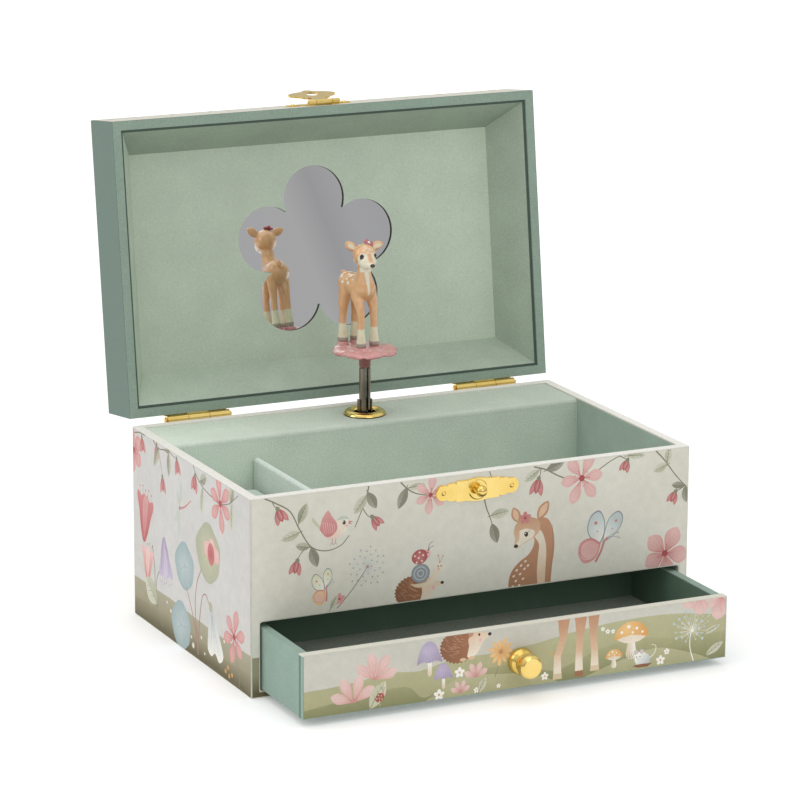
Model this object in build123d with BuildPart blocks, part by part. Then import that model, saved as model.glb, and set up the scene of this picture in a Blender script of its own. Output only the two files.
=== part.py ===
from build123d import *
import os
from math import cos, radians, sin

# A musical jewellery box: a paper-covered box with a lined tray, a drawer below it and a hinged
# lid with a flower-shaped mirror. A wound movement behind the tray turns a small fawn, which
# folds down into the tray as the lid closes. Millimetres, +X right, +Y back, +Z up, origin at the
# middle of the underside. The box stands as it is used: lid open, drawer part way out.

os.makedirs("parts", exist_ok=True)

# ---- driving dimensions ----
box_width, box_depth, box_height = 180.0, 114.0, 75.0
board = 3.5                    # walls of the box and of the lid
base_thick = 2.5               # bottom board, and the lid's top board
rim_gap = 0.3                  # between the box and the closed lid
lid_height = 22.7
lid_open = 97.5                # degrees from closed
drawer_out = 37.0              # how far the drawer is pulled out
barrel_radius, leaf = 1.8, 0.6 # of the lid hinges

side_x = box_width / 2
front_y, back_y = -box_depth / 2, box_depth / 2
inner_x = side_x - board
inner_front, inner_back = front_y + board, back_y - board
lid_rim = box_height + rim_gap
lid_crown = lid_rim + lid_height

hinge_y, hinge_z = back_y + 2.1, box_height + 0.15
lid_plane = Plane(
    Pos(0, hinge_y, hinge_z) * Rot(-lid_open, 0, 0) * Pos(0, -hinge_y, -hinge_z)
)
drawer_plane = Plane(origin=(0, -drawer_out, 0))

BASE = (Align.CENTER, Align.CENTER, Align.MIN)
pieces = {}


def block(x, y, z, mode=Mode.ADD):
    """A rectangular block between (low, high) limits on each axis."""
    with Locations(tuple((low + high) / 2 for low, high in (x, y, z))):
        Box(x[1] - x[0], y[1] - y[0], z[1] - z[0], mode=mode)


def rod(start, end, radius, end_radius=None, mode=Mode.ADD):
    """A round bar from start to end, tapered when end_radius is given."""
    axis = Vector(*end) - Vector(*start)
    with Locations(Plane(origin=start, z_dir=axis).location):
        if end_radius is None:
            Cylinder(radius, axis.length, align=BASE, mode=mode)
        else:
            Cone(radius, end_radius, axis.length, align=BASE, mode=mode)


def ball(centre, radius, mode=Mode.ADD):
    with Locations(centre):
        Sphere(radius, mode=mode)


def on(piece_plane, plane):
    """A sketch plane given in the coordinates of a piece that is built on piece_plane."""
    return Plane(piece_plane.location * plane.location)


def facing_front(y, x=0.0, z=0.0):
    """A sketch plane whose normal is -Y, with its own x along +X and its own y along +Z."""
    return Plane(origin=(x, y, z), x_dir=(1, 0, 0), z_dir=(0, -1, 0))


def toothed_wheel(plane, thick, root, tip, teeth, tooth, phase=0.0):
    """A spur wheel from plane along its normal, with one tooth at phase degrees."""
    with BuildSketch(plane) as outline:
        Circle(root)
        with PolarLocations((root + tip) / 2 - 0.1, teeth, start_angle=phase):
            Rectangle(tip - root + 0.2, tooth)
    extrude(outline.sketch, amount=thick)


def crown_teeth(plane, height, inner, outer, teeth, tooth, phase=0.0):
    """Radial ribs standing on plane along its normal, for a wheel that meshes at a right angle."""
    with BuildSketch(plane) as ribs:
        with PolarLocations((inner + outer) / 2, teeth, start_angle=phase):
            Rectangle(outer - inner, tooth)
    extrude(ribs.sketch, amount=height)


def nail(head):
    """A domed nail in a hinge leaf at the back, with its shank through the leaf into the board."""
    x, y, z = head
    rod(head, (x, y + 0.45, z), 0.95, 0.5)
    rod(head, (x, y - leaf - shank_length, z), shank)


# ---- box shell ----
nail_columns = (52.4, 61.7, 71.0)      # along X, on each side, through the lid hinges
box_nail_z, lid_nail_z = 69.0, 81.6
shank, shank_length = 0.35, 3.0
drawer_top = 28.6              # upper edge of the drawer's opening
opening_corner = 1.0
tray_floor_z = (29.0, 31.5)
partition_y = (26.0, 28.5)
deck_z = (72.0, 74.5)
spindle_y = 39.5               # the figure's turning axis is at x = 0
eyelet_collar = 5.4
arbor_x, movement_z = 22.6, 56.0

with BuildPart() as bottom_board:
    block((-inner_x, inner_x), (inner_front, back_y - board), (0, base_thick))
pieces["bottom_board"] = bottom_board

with BuildPart() as front_wall:
    block((-side_x, side_x), (front_y, inner_front), (0, box_height))
    with BuildSketch(facing_front(inner_front, z=(base_thick + drawer_top) / 2)):
        RectangleRounded(2 * inner_x, drawer_top - base_thick, opening_corner)
    extrude(amount=board, mode=Mode.SUBTRACT)
pieces["front_wall"] = front_wall

with BuildPart() as back_wall:
    block((-side_x, side_x), (inner_back, back_y), (0, box_height))
    rod((arbor_x, inner_back, movement_z), (arbor_x, back_y, movement_z), 2.4, mode=Mode.SUBTRACT)
    for hand in (-1, 1):
        for nail_x in nail_columns:
            rod((hand * nail_x, back_y, box_nail_z), (hand * nail_x, back_y - shank_length, box_nail_z),
                shank, mode=Mode.SUBTRACT)
pieces["back_wall"] = back_wall

for side, low in (("left", -side_x), ("right", inner_x)):
    with BuildPart() as side_wall:
        block((low, low + board), (inner_front, inner_back), (0, box_height))
    pieces[f"{side}_wall"] = side_wall

with BuildPart() as tray_floor:
    block((-inner_x, inner_x), (inner_front, inner_back), tray_floor_z)
pieces["tray_floor"] = tray_floor

felt_top = tray_floor_z[1] + 0.6
with BuildPart() as tray_felt:
    block((-inner_x, inner_x), (inner_front, partition_y[0]), (tray_floor_z[1], felt_top))
pieces["tray_felt"] = tray_felt

with BuildPart() as mechanism_partition:
    block((-inner_x, inner_x), partition_y, (tray_floor_z[1], deck_z[0]))
pieces["mechanism_partition"] = mechanism_partition

with BuildPart() as mechanism_deck:
    block((-inner_x, inner_x), (partition_y[0], inner_back), deck_z)
    front_edges = mechanism_deck.edges().filter_by(Axis.X).group_by(Axis.Y)[0]
    fillet(front_edges.sort_by(Axis.Z)[-1], 1.8)
    rod((0, spindle_y, deck_z[0]), (0, spindle_y, deck_z[1]), eyelet_collar, mode=Mode.SUBTRACT)
pieces["mechanism_deck"] = mechanism_deck

divider_x = (-53.2, -50.4)
divider_top = 66.0
with BuildPart() as tray_divider:
    block(divider_x, (inner_front, partition_y[0] - 0.5), (felt_top, divider_top))
    top_edges = tray_divider.edges().filter_by(Axis.Y).group_by(Axis.Z)[-1]
    fillet(top_edges, 1.2)
pieces["tray_divider"] = tray_divider

with BuildPart() as ring_cushion:
    block((-inner_x + 0.5, divider_x[0] - 0.5), (inner_front + 0.5, 20.0), (felt_top, 57.0))
    fillet(ring_cushion.edges().group_by(Axis.Z)[-1], 3.0)
pieces["ring_cushion"] = ring_cushion

# ---- figure's eyelet and yoke ----
eyelet_top = deck_z[1] + 1.8
eyelet_hole = 4.5
eyelet_flange = 8.3
with BuildPart() as spindle_eyelet:
    with BuildSketch(Plane(origin=(0, spindle_y, 0), x_dir=(1, 0, 0), z_dir=(0, -1, 0))):
        with BuildLine():
            Polyline(
                (eyelet_hole, eyelet_top - 1.0), (eyelet_hole, deck_z[0] - 1.0),
                (eyelet_collar - 0.05, deck_z[0] - 1.0), (eyelet_collar - 0.05, deck_z[1]),
                (eyelet_flange, deck_z[1]), (eyelet_flange, deck_z[1] + 0.4),
            )
            ThreePointArc(
                (eyelet_flange, deck_z[1] + 0.4), (6.7, eyelet_top), (eyelet_hole, eyelet_top - 1.0)
            )
        make_face()
    revolve(axis=Axis((0, spindle_y, 0), (0, 0, 1)))
pieces["spindle_eyelet"] = spindle_eyelet

pivot_z = 79.5                 # the figure folds about X here
sleeve_radius, sleeve_bore = 2.25, 1.5
spindle_radius = 1.2
spring_foot = 75.6             # the drive spring stands on the spindle here
running = 0.05                 # radial clearance of every running fit
cheek_x = (2.3, 2.75)
with BuildPart() as post_yoke:
    rod((0, spindle_y, 71.8), (0, spindle_y, 73.0), eyelet_hole - 0.02)
    rod((0, spindle_y, 71.8), (0, spindle_y, 73.0), spindle_radius + running, mode=Mode.SUBTRACT)
    for hand in (-1, 1):
        low, high = sorted((hand * cheek_x[0], hand * cheek_x[1]))
        block((low, high), (spindle_y - 1.1, spindle_y + 1.1), (73.0, pivot_z + 0.9))
        rod((hand * 2.4, spindle_y, pivot_z), (hand * 1.65, spindle_y, pivot_z), 0.6)
pieces["post_yoke"] = post_yoke

# ---- clasp on the front ----
clasp_x, clasp_z = 0.6, 68.5
plate_thick = 0.7
clasp_nail = 14.0              # either side of the stud
stud_ball, stud_reach = 2.2, 2.9
with BuildPart() as clasp_plate:
    for rise, inset in ((0.45, 0.0), (plate_thick, 0.25)):      # the plate and its raised face
        with BuildSketch(facing_front(front_y, clasp_x, clasp_z)):
            RectangleRounded(18.4 - 2 * inset, 8.0 - 2 * inset, 1.2)
            Ellipse(8.4 - inset, 4.5 - inset)
            for hand in (-1, 1):
                with Locations((hand * 10.6, 0)):
                    Ellipse(3.2 - inset, 3.5 - inset)
                with Locations((hand * clasp_nail, 0)):
                    Circle(3.0 - inset)
        extrude(amount=rise)
pieces["clasp_plate"] = clasp_plate

plate_face = front_y - plate_thick
with BuildPart() as clasp_stud:
    rod((clasp_x, plate_face, clasp_z), (clasp_x, plate_face - 0.3, clasp_z), 3.9, 3.5)
    rod((clasp_x, plate_face - 0.3, clasp_z), (clasp_x, plate_face - stud_reach, clasp_z), 1.5)
    ball((clasp_x, plate_face - stud_reach, clasp_z), stud_ball)
pieces["clasp_stud"] = clasp_stud

with BuildPart() as box_nails:
    for hand in (-1, 1):
        rod((clasp_x + hand * clasp_nail, plate_face, clasp_z),
            (clasp_x + hand * clasp_nail, plate_face - 0.45, clasp_z), 0.95, 0.5)
        for nail_x in nail_columns:
            nail((hand * nail_x, back_y + leaf, box_nail_z))
pieces["box_nails"] = box_nails

# ---- lid hinges ----
barrel_ends = (49.0, 75.0)
box_leaf_z, lid_leaf_top = (66.0, 73.0), 84.5
knuckle_gap = 0.15
knuckle = (barrel_ends[1] - barrel_ends[0]) / 3
lid_knuckle = (barrel_ends[0] + knuckle, barrel_ends[1] - knuckle)
pin_radius = 0.7


def hinge_x(hand, low, high):
    """Limits along X of a hinge stretch on the left (-1) or the right (1)."""
    return tuple(sorted((hand * low, hand * high)))


def knuckle_block(hand, low, high, leaf_z):
    """A barrel stretch with the strip of leaf that joins it."""
    ends = hinge_x(hand, low, high)
    block(ends, (back_y, back_y + leaf), leaf_z)
    rod((ends[0], hinge_y, hinge_z), (ends[1], hinge_y, hinge_z), barrel_radius)
    rod((ends[0], hinge_y, hinge_z), (ends[1], hinge_y, hinge_z),
        pin_radius + running, mode=Mode.SUBTRACT)


with BuildPart() as box_hinge_leaves:
    for hand in (-1, 1):
        block(hinge_x(hand, *barrel_ends), (back_y, back_y + leaf), box_leaf_z)
        for nail_x in nail_columns:
            rod((hand * nail_x, back_y, box_nail_z), (hand * nail_x, back_y + leaf, box_nail_z),
                shank, mode=Mode.SUBTRACT)
        for low, high in (
            (barrel_ends[0], lid_knuckle[0] - knuckle_gap),
            (lid_knuckle[1] + knuckle_gap, barrel_ends[1]),
        ):
            knuckle_block(hand, low, high, (box_leaf_z[1] - 1.0, hinge_z))
pieces["box_hinge_leaves"] = box_hinge_leaves

with BuildPart() as hinge_pins:
    for hand in (-1, 1):
        low, high = hinge_x(hand, barrel_ends[0] - 0.4, barrel_ends[1] + 0.4)
        rod((low, hinge_y, hinge_z), (high, hinge_y, hinge_z), pin_radius)
        for end, outward in ((low, -1), (high, 1)):
            rod((end, hinge_y, hinge_z), (end + outward * 0.5, hinge_y, hinge_z), 1.2, 0.8)
pieces["hinge_pins"] = hinge_pins

lid_leaf_bottom = hinge_z + 2.2
with BuildPart(lid_plane) as lid_hinge_leaves:
    for hand in (-1, 1):
        block(hinge_x(hand, *barrel_ends), (back_y, back_y + leaf), (lid_leaf_bottom, lid_leaf_top))
        for nail_x in nail_columns:
            rod((hand * nail_x, back_y, lid_nail_z), (hand * nail_x, back_y + leaf, lid_nail_z),
                shank, mode=Mode.SUBTRACT)
        knuckle_block(hand, *lid_knuckle, (hinge_z, lid_leaf_bottom + 1.0))
pieces["lid_hinge_leaves"] = lid_hinge_leaves

# ---- lid ----
lid_ceiling = lid_crown - base_thick

with BuildPart(lid_plane) as lid_top:
    block((-side_x, side_x), (front_y, back_y), (lid_ceiling, lid_crown))
pieces["lid_top"] = lid_top

lid_rails = {
    "left": ((-side_x, -inner_x), (inner_front, inner_back)),
    "right": ((inner_x, side_x), (inner_front, inner_back)),
    "front": ((-side_x, side_x), (front_y, inner_front)),
    "back": ((-side_x, side_x), (inner_back, back_y)),
}
for side, (x_limits, y_limits) in lid_rails.items():
    with BuildPart(lid_plane) as lid_rail:
        block(x_limits, y_limits, (lid_rim, lid_ceiling))
        if side == "back":
            for hand in (-1, 1):
                for nail_x in nail_columns:
                    rod((hand * nail_x, back_y, lid_nail_z),
                        (hand * nail_x, back_y - shank_length, lid_nail_z),
                        shank, mode=Mode.SUBTRACT)
    pieces[f"lid_rail_{side}"] = lid_rail

panel_z = (93.4, 94.2)
window_half = (77.0, 42.7)     # where the sloped lining meets the mirror panel
lining, lining_drop = 0.8, 0.7   # thickness, and how far its edge sits below the rim
mitre_run = 30.0               # how far in from the corner the mitred cut reaches
mitre_slope = (inner_x - window_half[0]) / (inner_back - window_half[1])
lining_corners = {
    "left": ((-1, -1), (-1, 1)),
    "right": ((1, 1), (1, -1)),
    "front": ((1, -1), (-1, -1)),
    "back": ((-1, 1), (1, 1)),
}
for side, (first, second) in lining_corners.items():
    with BuildPart() as lid_lining:
        for shrink, mode in ((0.0, Mode.ADD), (lining, Mode.SUBTRACT)):
            with BuildSketch(on(lid_plane, Plane.XY.offset(lid_rim + lining_drop))):
                Rectangle(2 * (inner_x - shrink), 2 * (inner_back - shrink))
            with BuildSketch(on(lid_plane, Plane.XY.offset(panel_z[0]))):
                Rectangle(2 * (window_half[0] + lining - shrink),
                          2 * (window_half[1] + lining - shrink))
            loft(mode=mode)
        with BuildSketch(on(lid_plane, Plane.XY.offset(lid_rim))):
            with BuildLine():
                Polyline(
                    *[(sx * inner_x, sy * inner_back) for sx, sy in (first, second)],
                    *[(sx * (inner_x - mitre_slope * mitre_run), sy * (inner_back - mitre_run))
                      for sx, sy in (second, first)],
                    close=True,
                )
            make_face()
        extrude(amount=panel_z[0] - lid_rim, mode=Mode.INTERSECT)
    pieces[f"lid_lining_{side}"] = lid_lining

flower_y, lobe_distance, lobe_radius = 1.3, 21.3, 13.0
with BuildPart(lid_plane) as mirror_panel:
    block((-window_half[0] - 1.5, window_half[0] + 1.5), (-window_half[1] - 1.5, window_half[1] + 1.5),
          panel_z)
    with BuildSketch(on(lid_plane, Plane(origin=(0, flower_y, panel_z[0])))):
        Circle(lobe_distance - 1.5)
        with PolarLocations(lobe_distance, 5, start_angle=-90):
            Circle(lobe_radius)
    extrude(amount=panel_z[1] - panel_z[0], mode=Mode.SUBTRACT)
pieces["mirror_panel"] = mirror_panel

with BuildPart(lid_plane) as flower_mirror:
    block((-42, 42), (flower_y - 38, flower_y + 38), (panel_z[1] + 0.05, lid_ceiling))
pieces["flower_mirror"] = flower_mirror

# ---- hasp on the lid's front ----
hasp_y, hasp_z = front_y - 1.5, lid_rim + 4.8
hasp_fold = 168.0              # from hanging over the stud to lying back on the lid
hasp_barrel, hasp_pin_radius = 1.0, 0.45
hasp_hinge = ((-6.6, -3.5), (-3.3, 3.3), (3.5, 6.6))
hasp_plate_z = hasp_z + 5.4
hasp_nail = 11.0               # either side of the middle


def hasp_barrels(stretches):
    for low, high in stretches:
        rod((clasp_x + low, hasp_y, hasp_z), (clasp_x + high, hasp_y, hasp_z), hasp_barrel)


def hasp_bore():
    rod((clasp_x - 8, hasp_y, hasp_z), (clasp_x + 8, hasp_y, hasp_z),
        hasp_pin_radius + running, mode=Mode.SUBTRACT)


with BuildPart(lid_plane) as hasp_plate:
    with BuildSketch(on(lid_plane, facing_front(front_y, clasp_x, hasp_plate_z))):
        Ellipse(11.2, 3.4)
        Rectangle(13.2, 6.6)
        for hand in (-1, 1):
            with Locations((hand * hasp_nail, 0)):
                Circle(2.7)
    extrude(amount=plate_thick)
    for low, high in (hasp_hinge[0], hasp_hinge[2]):
        block((clasp_x + low, clasp_x + high), (front_y - plate_thick, front_y), (hasp_z, hasp_z + 4))
    hasp_barrels((hasp_hinge[0], hasp_hinge[2]))
    hasp_bore()
pieces["hasp_plate"] = hasp_plate

with BuildPart(lid_plane) as hasp_pin:
    rod((clasp_x - 6.9, hasp_y, hasp_z), (clasp_x + 6.9, hasp_y, hasp_z), hasp_pin_radius)
pieces["hasp_pin"] = hasp_pin

with BuildPart(lid_plane) as lid_nails:
    for hand in (-1, 1):
        rod((clasp_x + hand * hasp_nail, plate_face, hasp_plate_z),
            (clasp_x + hand * hasp_nail, plate_face - 0.45, hasp_plate_z), 0.9, 0.45)
        for nail_x in nail_columns:
            nail((hand * nail_x, back_y + leaf, lid_nail_z))
pieces["lid_nails"] = lid_nails

flap_plane = Plane(
    lid_plane.location * Pos(0, hasp_y, hasp_z) * Rot(-hasp_fold, 0, 0) * Pos(0, -hasp_y, -hasp_z)
)
flap = 0.6
with BuildPart(flap_plane) as hasp_flap:
    with BuildSketch(on(flap_plane, facing_front(hasp_y + flap / 2, clasp_x, clasp_z))):
        Ellipse(10.0, 4.2)
        Circle(5.0)
        with Locations((0, 3.2)):
            Ellipse(6.4, 3.4)
        with Locations((0, 6.8)):
            Rectangle(6.2, 9.4)
        with Locations((0, -3.4)):
            Circle(2.6)
        Circle(2.5, mode=Mode.SUBTRACT)
    extrude(amount=flap)
    hasp_barrels((hasp_hinge[1],))
    hasp_bore()
pieces["hasp_flap"] = hasp_flap

# ---- drawer ----
front_x, front_z = inner_x - 0.4, (3.0, 26.8)
drawer_side, drawer_back = 3.2, 12.2
side_top = 26.4
drawer_floor_z = (6.4, 8.4)
knob_z = 13.4
drawer_side_x = inner_x - 0.8

with BuildPart(drawer_plane) as drawer_front:
    block((-front_x, front_x), (front_y, inner_front), front_z)
    rod((0, inner_front, knob_z), (0, front_y, knob_z), 1.3, mode=Mode.SUBTRACT)
pieces["drawer_front"] = drawer_front

for side, low in (("left", -drawer_side_x), ("right", drawer_side_x - drawer_side)):
    with BuildPart(drawer_plane) as drawer_wall:
        block((low, low + drawer_side), (inner_front, drawer_back), (front_z[0], side_top))
    pieces[f"drawer_{side}"] = drawer_wall

drawer_half = drawer_side_x - drawer_side
with BuildPart(drawer_plane) as drawer_rear:
    block((-drawer_half, drawer_half), (drawer_back - drawer_side, drawer_back), (front_z[0], side_top))
pieces["drawer_back"] = drawer_rear

drawer_inside = (inner_front, drawer_back - drawer_side)
with BuildPart(drawer_plane) as drawer_floor:
    block((-drawer_half, drawer_half), drawer_inside, drawer_floor_z)
pieces["drawer_floor"] = drawer_floor

with BuildPart(drawer_plane) as drawer_felt:
    block((-drawer_half, drawer_half), drawer_inside, (drawer_floor_z[1], drawer_floor_z[1] + 0.6))
pieces["drawer_felt"] = drawer_felt

knob_profile = (               # distance from the drawer's face, radius
    (0.0, 4.8), (0.4, 5.0), (1.8, 4.9), (2.6, 4.5), (3.6, 3.6), (4.5, 3.3), (5.2, 3.6), (5.8, 4.3),
    (6.5, 4.55), (8.4, 4.5), (9.2, 4.3), (9.7, 3.9), (10.0, 3.4),
)
with BuildPart(drawer_plane) as drawer_knob:
    for (low, low_radius), (high, high_radius) in zip(knob_profile, knob_profile[1:]):
        rod((0, front_y - low, knob_z), (0, front_y - high, knob_z), low_radius, high_radius)
    rod((0, front_y, knob_z), (0, front_y - 6.0, knob_z), 1.25, mode=Mode.SUBTRACT)
pieces["drawer_knob"] = drawer_knob

with BuildPart(drawer_plane) as knob_screw:
    rod((0, inner_front, knob_z), (0, front_y - 6.0, knob_z), 1.25)
    rod((0, inner_front, knob_z), (0, inner_front + 1.4, knob_z), 3.0, 2.2)
    block((-2.6, 2.6), (inner_front + 0.8, inner_front + 1.6), (knob_z - 0.35, knob_z + 0.35),
          mode=Mode.SUBTRACT)
pieces["knob_screw"] = knob_screw

# ---- movement: parts that stay still ----
bed_x, bed_y, bed_z = (-48.0, 38.0), (51.5, inner_back), (32.5, 71.0)
bearing_x = (17.0, 18.2)
cylinder_x = (-30.5, -11.5)
cylinder_radius, pin_reach = 6.4, 0.7
comb_y = (38.9, 40.0)
comb_z, comb_screw_z = (34.0, 41.0), 37.0
comb_tips = movement_z - cylinder_radius - pin_reach - 0.3
tines = 18
screw_heads = ((-44.0, 35.5), (33.5, 35.5), (-26.0, 68.5), (33.5, 68.5))
comb_screw_x = (-27.0, -21.0, -15.0)

with BuildPart() as bed_plate:
    block(bed_x, bed_y, bed_z)
    block((cylinder_x[0] - 1, cylinder_x[1] + 1), (comb_y[1], bed_y[1]), (comb_z[0] - 0.5, comb_z[1]))
    block(bearing_x, (36.4, bed_y[1]), (34.0, 43.6))
    block(bearing_x, (36.4, 42.6), (43.0, movement_z + 3.2))
    block((-3.5, 3.5), (spindle_y - 3.5, bed_y[1]), (66.0, 67.4))
    rod((16, spindle_y, movement_z), (19, spindle_y, movement_z), 1.2 + running, mode=Mode.SUBTRACT)
    rod((0, spindle_y, 65), (0, spindle_y, 68), spindle_radius + running, mode=Mode.SUBTRACT)
    rod((arbor_x, bed_y[0], movement_z), (arbor_x, bed_y[1], movement_z), 2.0, mode=Mode.SUBTRACT)
    for x, z in screw_heads:
        rod((x, bed_y[0], z), (x, bed_y[1], z), 1.05, mode=Mode.SUBTRACT)
    for x in comb_screw_x:
        rod((x, comb_y[1], comb_screw_z), (x, comb_y[1] + 6.0, comb_screw_z), 0.85,
            mode=Mode.SUBTRACT)
pieces["bed_plate"] = bed_plate

with BuildPart() as comb:
    block(cylinder_x, comb_y, comb_z)
    pitch = (cylinder_x[1] - cylinder_x[0]) / tines
    for tine in range(tines):
        low = cylinder_x[0] + tine * pitch + 0.12
        block((low, low + pitch - 0.24), (comb_y[0] + 0.3, comb_y[1]), (comb_z[1] - 0.5, comb_tips))
    for x in comb_screw_x:
        rod((x, comb_y[0], comb_screw_z), (x, comb_y[1], comb_screw_z), 0.9, mode=Mode.SUBTRACT)
pieces["comb"] = comb

with BuildPart() as movement_screws:
    for x, z in screw_heads:
        rod((x, bed_y[0], z), (x, bed_y[0] - 1.2, z), 2.0, 1.5)
        rod((x, bed_y[0], z), (x, bed_y[1], z), 1.0)
    for x in comb_screw_x:
        rod((x, comb_y[0], comb_screw_z), (x, comb_y[0] - 1.0, comb_screw_z), 1.6, 1.2)
        rod((x, comb_y[0], comb_screw_z), (x, comb_y[1] + 6.0, comb_screw_z), 0.8)
pieces["movement_screws"] = movement_screws

arbor_radius = 1.5
housing_y = 46.2               # front of the spring's housing
with BuildPart() as spring_housing:
    rod((arbor_x, bed_y[0], movement_z), (arbor_x, housing_y, movement_z), 10.0)
    rod((arbor_x, bed_y[0], movement_z), (arbor_x, housing_y + 1.0, movement_z), 9.2,
        mode=Mode.SUBTRACT)
    rod((arbor_x, bed_y[0], movement_z), (arbor_x, housing_y, movement_z), arbor_radius + 0.4,
        mode=Mode.SUBTRACT)
pieces["spring_housing"] = spring_housing

governor_z = movement_z + 9.0
bracket_plates = ((-37.4, -36.4), (-46.4, -45.4))
with BuildPart() as governor_bracket:
    for low, high in bracket_plates:
        block((low, high), (36.0, bed_y[0]), (movement_z - 3, governor_z + 3))
    block((bracket_plates[1][0], bracket_plates[0][1]), (bed_y[0] - 1.0, bed_y[0]),
          (movement_z - 3, governor_z + 3))
    rod((-47, spindle_y, governor_z), (-36, spindle_y, governor_z), 0.6 + running, mode=Mode.SUBTRACT)
    rod((-38, spindle_y, movement_z), (-36, spindle_y, movement_z), 1.2 + running, mode=Mode.SUBTRACT)
pieces["governor_bracket"] = governor_bracket

# ---- movement: parts that turn ----
gear_x = (-35.2, -33.4)
pins = 34
with BuildPart() as pin_cylinder:
    rod((cylinder_x[0], spindle_y, movement_z), (cylinder_x[1], spindle_y, movement_z), cylinder_radius)
    for pin in range(pins):
        angle = radians(pin * 360.0 * 7 / pins)
        x = cylinder_x[0] + ((pin * 5) % tines + 0.5) * pitch
        rod((x, spindle_y, movement_z),
            (x, spindle_y + (cylinder_radius + pin_reach) * cos(angle),
             movement_z + (cylinder_radius + pin_reach) * sin(angle)), 0.22)
    rod((-40, spindle_y, movement_z), (30, spindle_y, movement_z), 1.2, mode=Mode.SUBTRACT)
pieces["pin_cylinder"] = pin_cylinder

with BuildPart() as cylinder_arbor:
    rod((-37.3, spindle_y, movement_z), (18.1, spindle_y, movement_z), 1.2)
    toothed_wheel(
        Plane(origin=(gear_x[0], spindle_y, movement_z), x_dir=(0, 0, 1), z_dir=(1, 0, 0)),
        gear_x[1] - gear_x[0], 6.0, 7.0, 24, 0.6,
    )
    toothed_wheel(
        Plane(origin=(-7, spindle_y, movement_z), x_dir=(0, 0, 1), z_dir=(1, 0, 0)),
        2.0, 5.1, 6.7, 16, 0.75,
    )
    toothed_wheel(
        Plane(origin=(13, spindle_y, movement_z), x_dir=(0, 1, 0), z_dir=(1, 0, 0)),
        2.0, 3.4, 4.9, 10, 0.85,
    )
pieces["cylinder_arbor"] = cylinder_arbor

with BuildPart() as governor:
    rod((-46.3, spindle_y, governor_z), (-33.0, spindle_y, governor_z), 0.6)
    toothed_wheel(
        Plane(origin=(gear_x[0], spindle_y, governor_z), x_dir=(0, 0, -1), z_dir=(1, 0, 0)),
        gear_x[1] - gear_x[0], 1.6, 2.6, 8, 0.55, phase=22.5,
    )
    block((-43.6, -38.6), (spindle_y - 0.3, spindle_y + 0.3), (governor_z - 4.5, governor_z + 4.5))
    rod((-44.4, spindle_y, governor_z), (-37.8, spindle_y, governor_z), 1.1)
pieces["governor"] = governor

with BuildPart() as movement_spindle:
    rod((0, spindle_y, movement_z + 7.0), (0, spindle_y, spring_foot), spindle_radius)
    rod((0, spindle_y, movement_z + 7.0), (0, spindle_y, movement_z + 8.2), 7.6)
    rod((0, spindle_y, movement_z + 8.2), (0, spindle_y, 65.9), 2.4)
    crown_teeth(
        Plane(origin=(0, spindle_y, movement_z + 7.1), x_dir=(-1, 0, 0), z_dir=(0, 0, -1)),
        1.8, 5.0, 7.0, 16, 0.75, phase=360 / 32,
    )
pieces["movement_spindle"] = movement_spindle

wheel_y = (44.6, 45.8)
with BuildPart() as winding_arbor:
    rod((arbor_x, 43.6, movement_z), (arbor_x, back_y + 4.0, movement_z), arbor_radius)
    rod((arbor_x, wheel_y[0], movement_z), (arbor_x, wheel_y[1], movement_z), 9.9)
    crown_teeth(
        Plane(origin=(arbor_x, wheel_y[0] + 0.1, movement_z), x_dir=(-1, 0, 0), z_dir=(0, -1, 0)),
        1.3, 7.6, 9.6, 20, 0.85, phase=9.0,
    )
pieces["winding_arbor"] = winding_arbor

key_y = back_y + 4.0
with BuildPart() as winding_key:
    rod((arbor_x, key_y, movement_z), (arbor_x, key_y + 5.5, movement_z), 2.6)
    rod((arbor_x, key_y - 3.0, movement_z), (arbor_x, key_y, movement_z), 2.6)
    with BuildSketch(Plane(origin=(arbor_x, key_y + 9.5, movement_z))):
        for hand in (-1, 1):
            with Locations((hand * 5.0, 0)):
                Ellipse(4.9, 5.6)
                Circle(2.0, mode=Mode.SUBTRACT)
        Rectangle(3.4, 9.6)
    extrude(amount=0.7, both=True)
    rod((arbor_x, key_y - 3.0, movement_z), (arbor_x, key_y, movement_z), arbor_radius,
        mode=Mode.SUBTRACT)
pieces["winding_key"] = winding_key

# ---- folding post and figure ----
sleeve_ends = (76.4, 93.0)
with BuildPart() as post_sleeve:
    rod((0, spindle_y, sleeve_ends[0]), (0, spindle_y, sleeve_ends[1]), sleeve_radius)
    rod((0, spindle_y, sleeve_ends[0]), (0, spindle_y, sleeve_ends[1]), sleeve_bore, mode=Mode.SUBTRACT)
    block((-0.55, 0.55), (spindle_y - 3, spindle_y), (sleeve_ends[0], sleeve_ends[1]),
          mode=Mode.SUBTRACT)
    rod((-3, spindle_y, pivot_z), (3, spindle_y, pivot_z), 0.6 + running, mode=Mode.SUBTRACT)
pieces["post_sleeve"] = post_sleeve

stem_radius = 1.35
stem_ends = (81.2, 100.5)
wire = 0.25
with BuildPart() as drive_spring:
    with BuildLine():
        Helix(0.85, stem_ends[0] - spring_foot - 2 * wire, 1.0, center=(0, spindle_y, spring_foot + wire))
    with BuildSketch(Plane(origin=(1.0, spindle_y, spring_foot + wire), z_dir=(0, 1, 0.135))):
        Circle(wire)
    sweep()
pieces["drive_spring"] = drive_spring

with BuildPart() as figure_stem:
    rod((0, spindle_y, stem_ends[0]), (0, spindle_y, stem_ends[1]), stem_radius)
pieces["figure_stem"] = figure_stem

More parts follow.
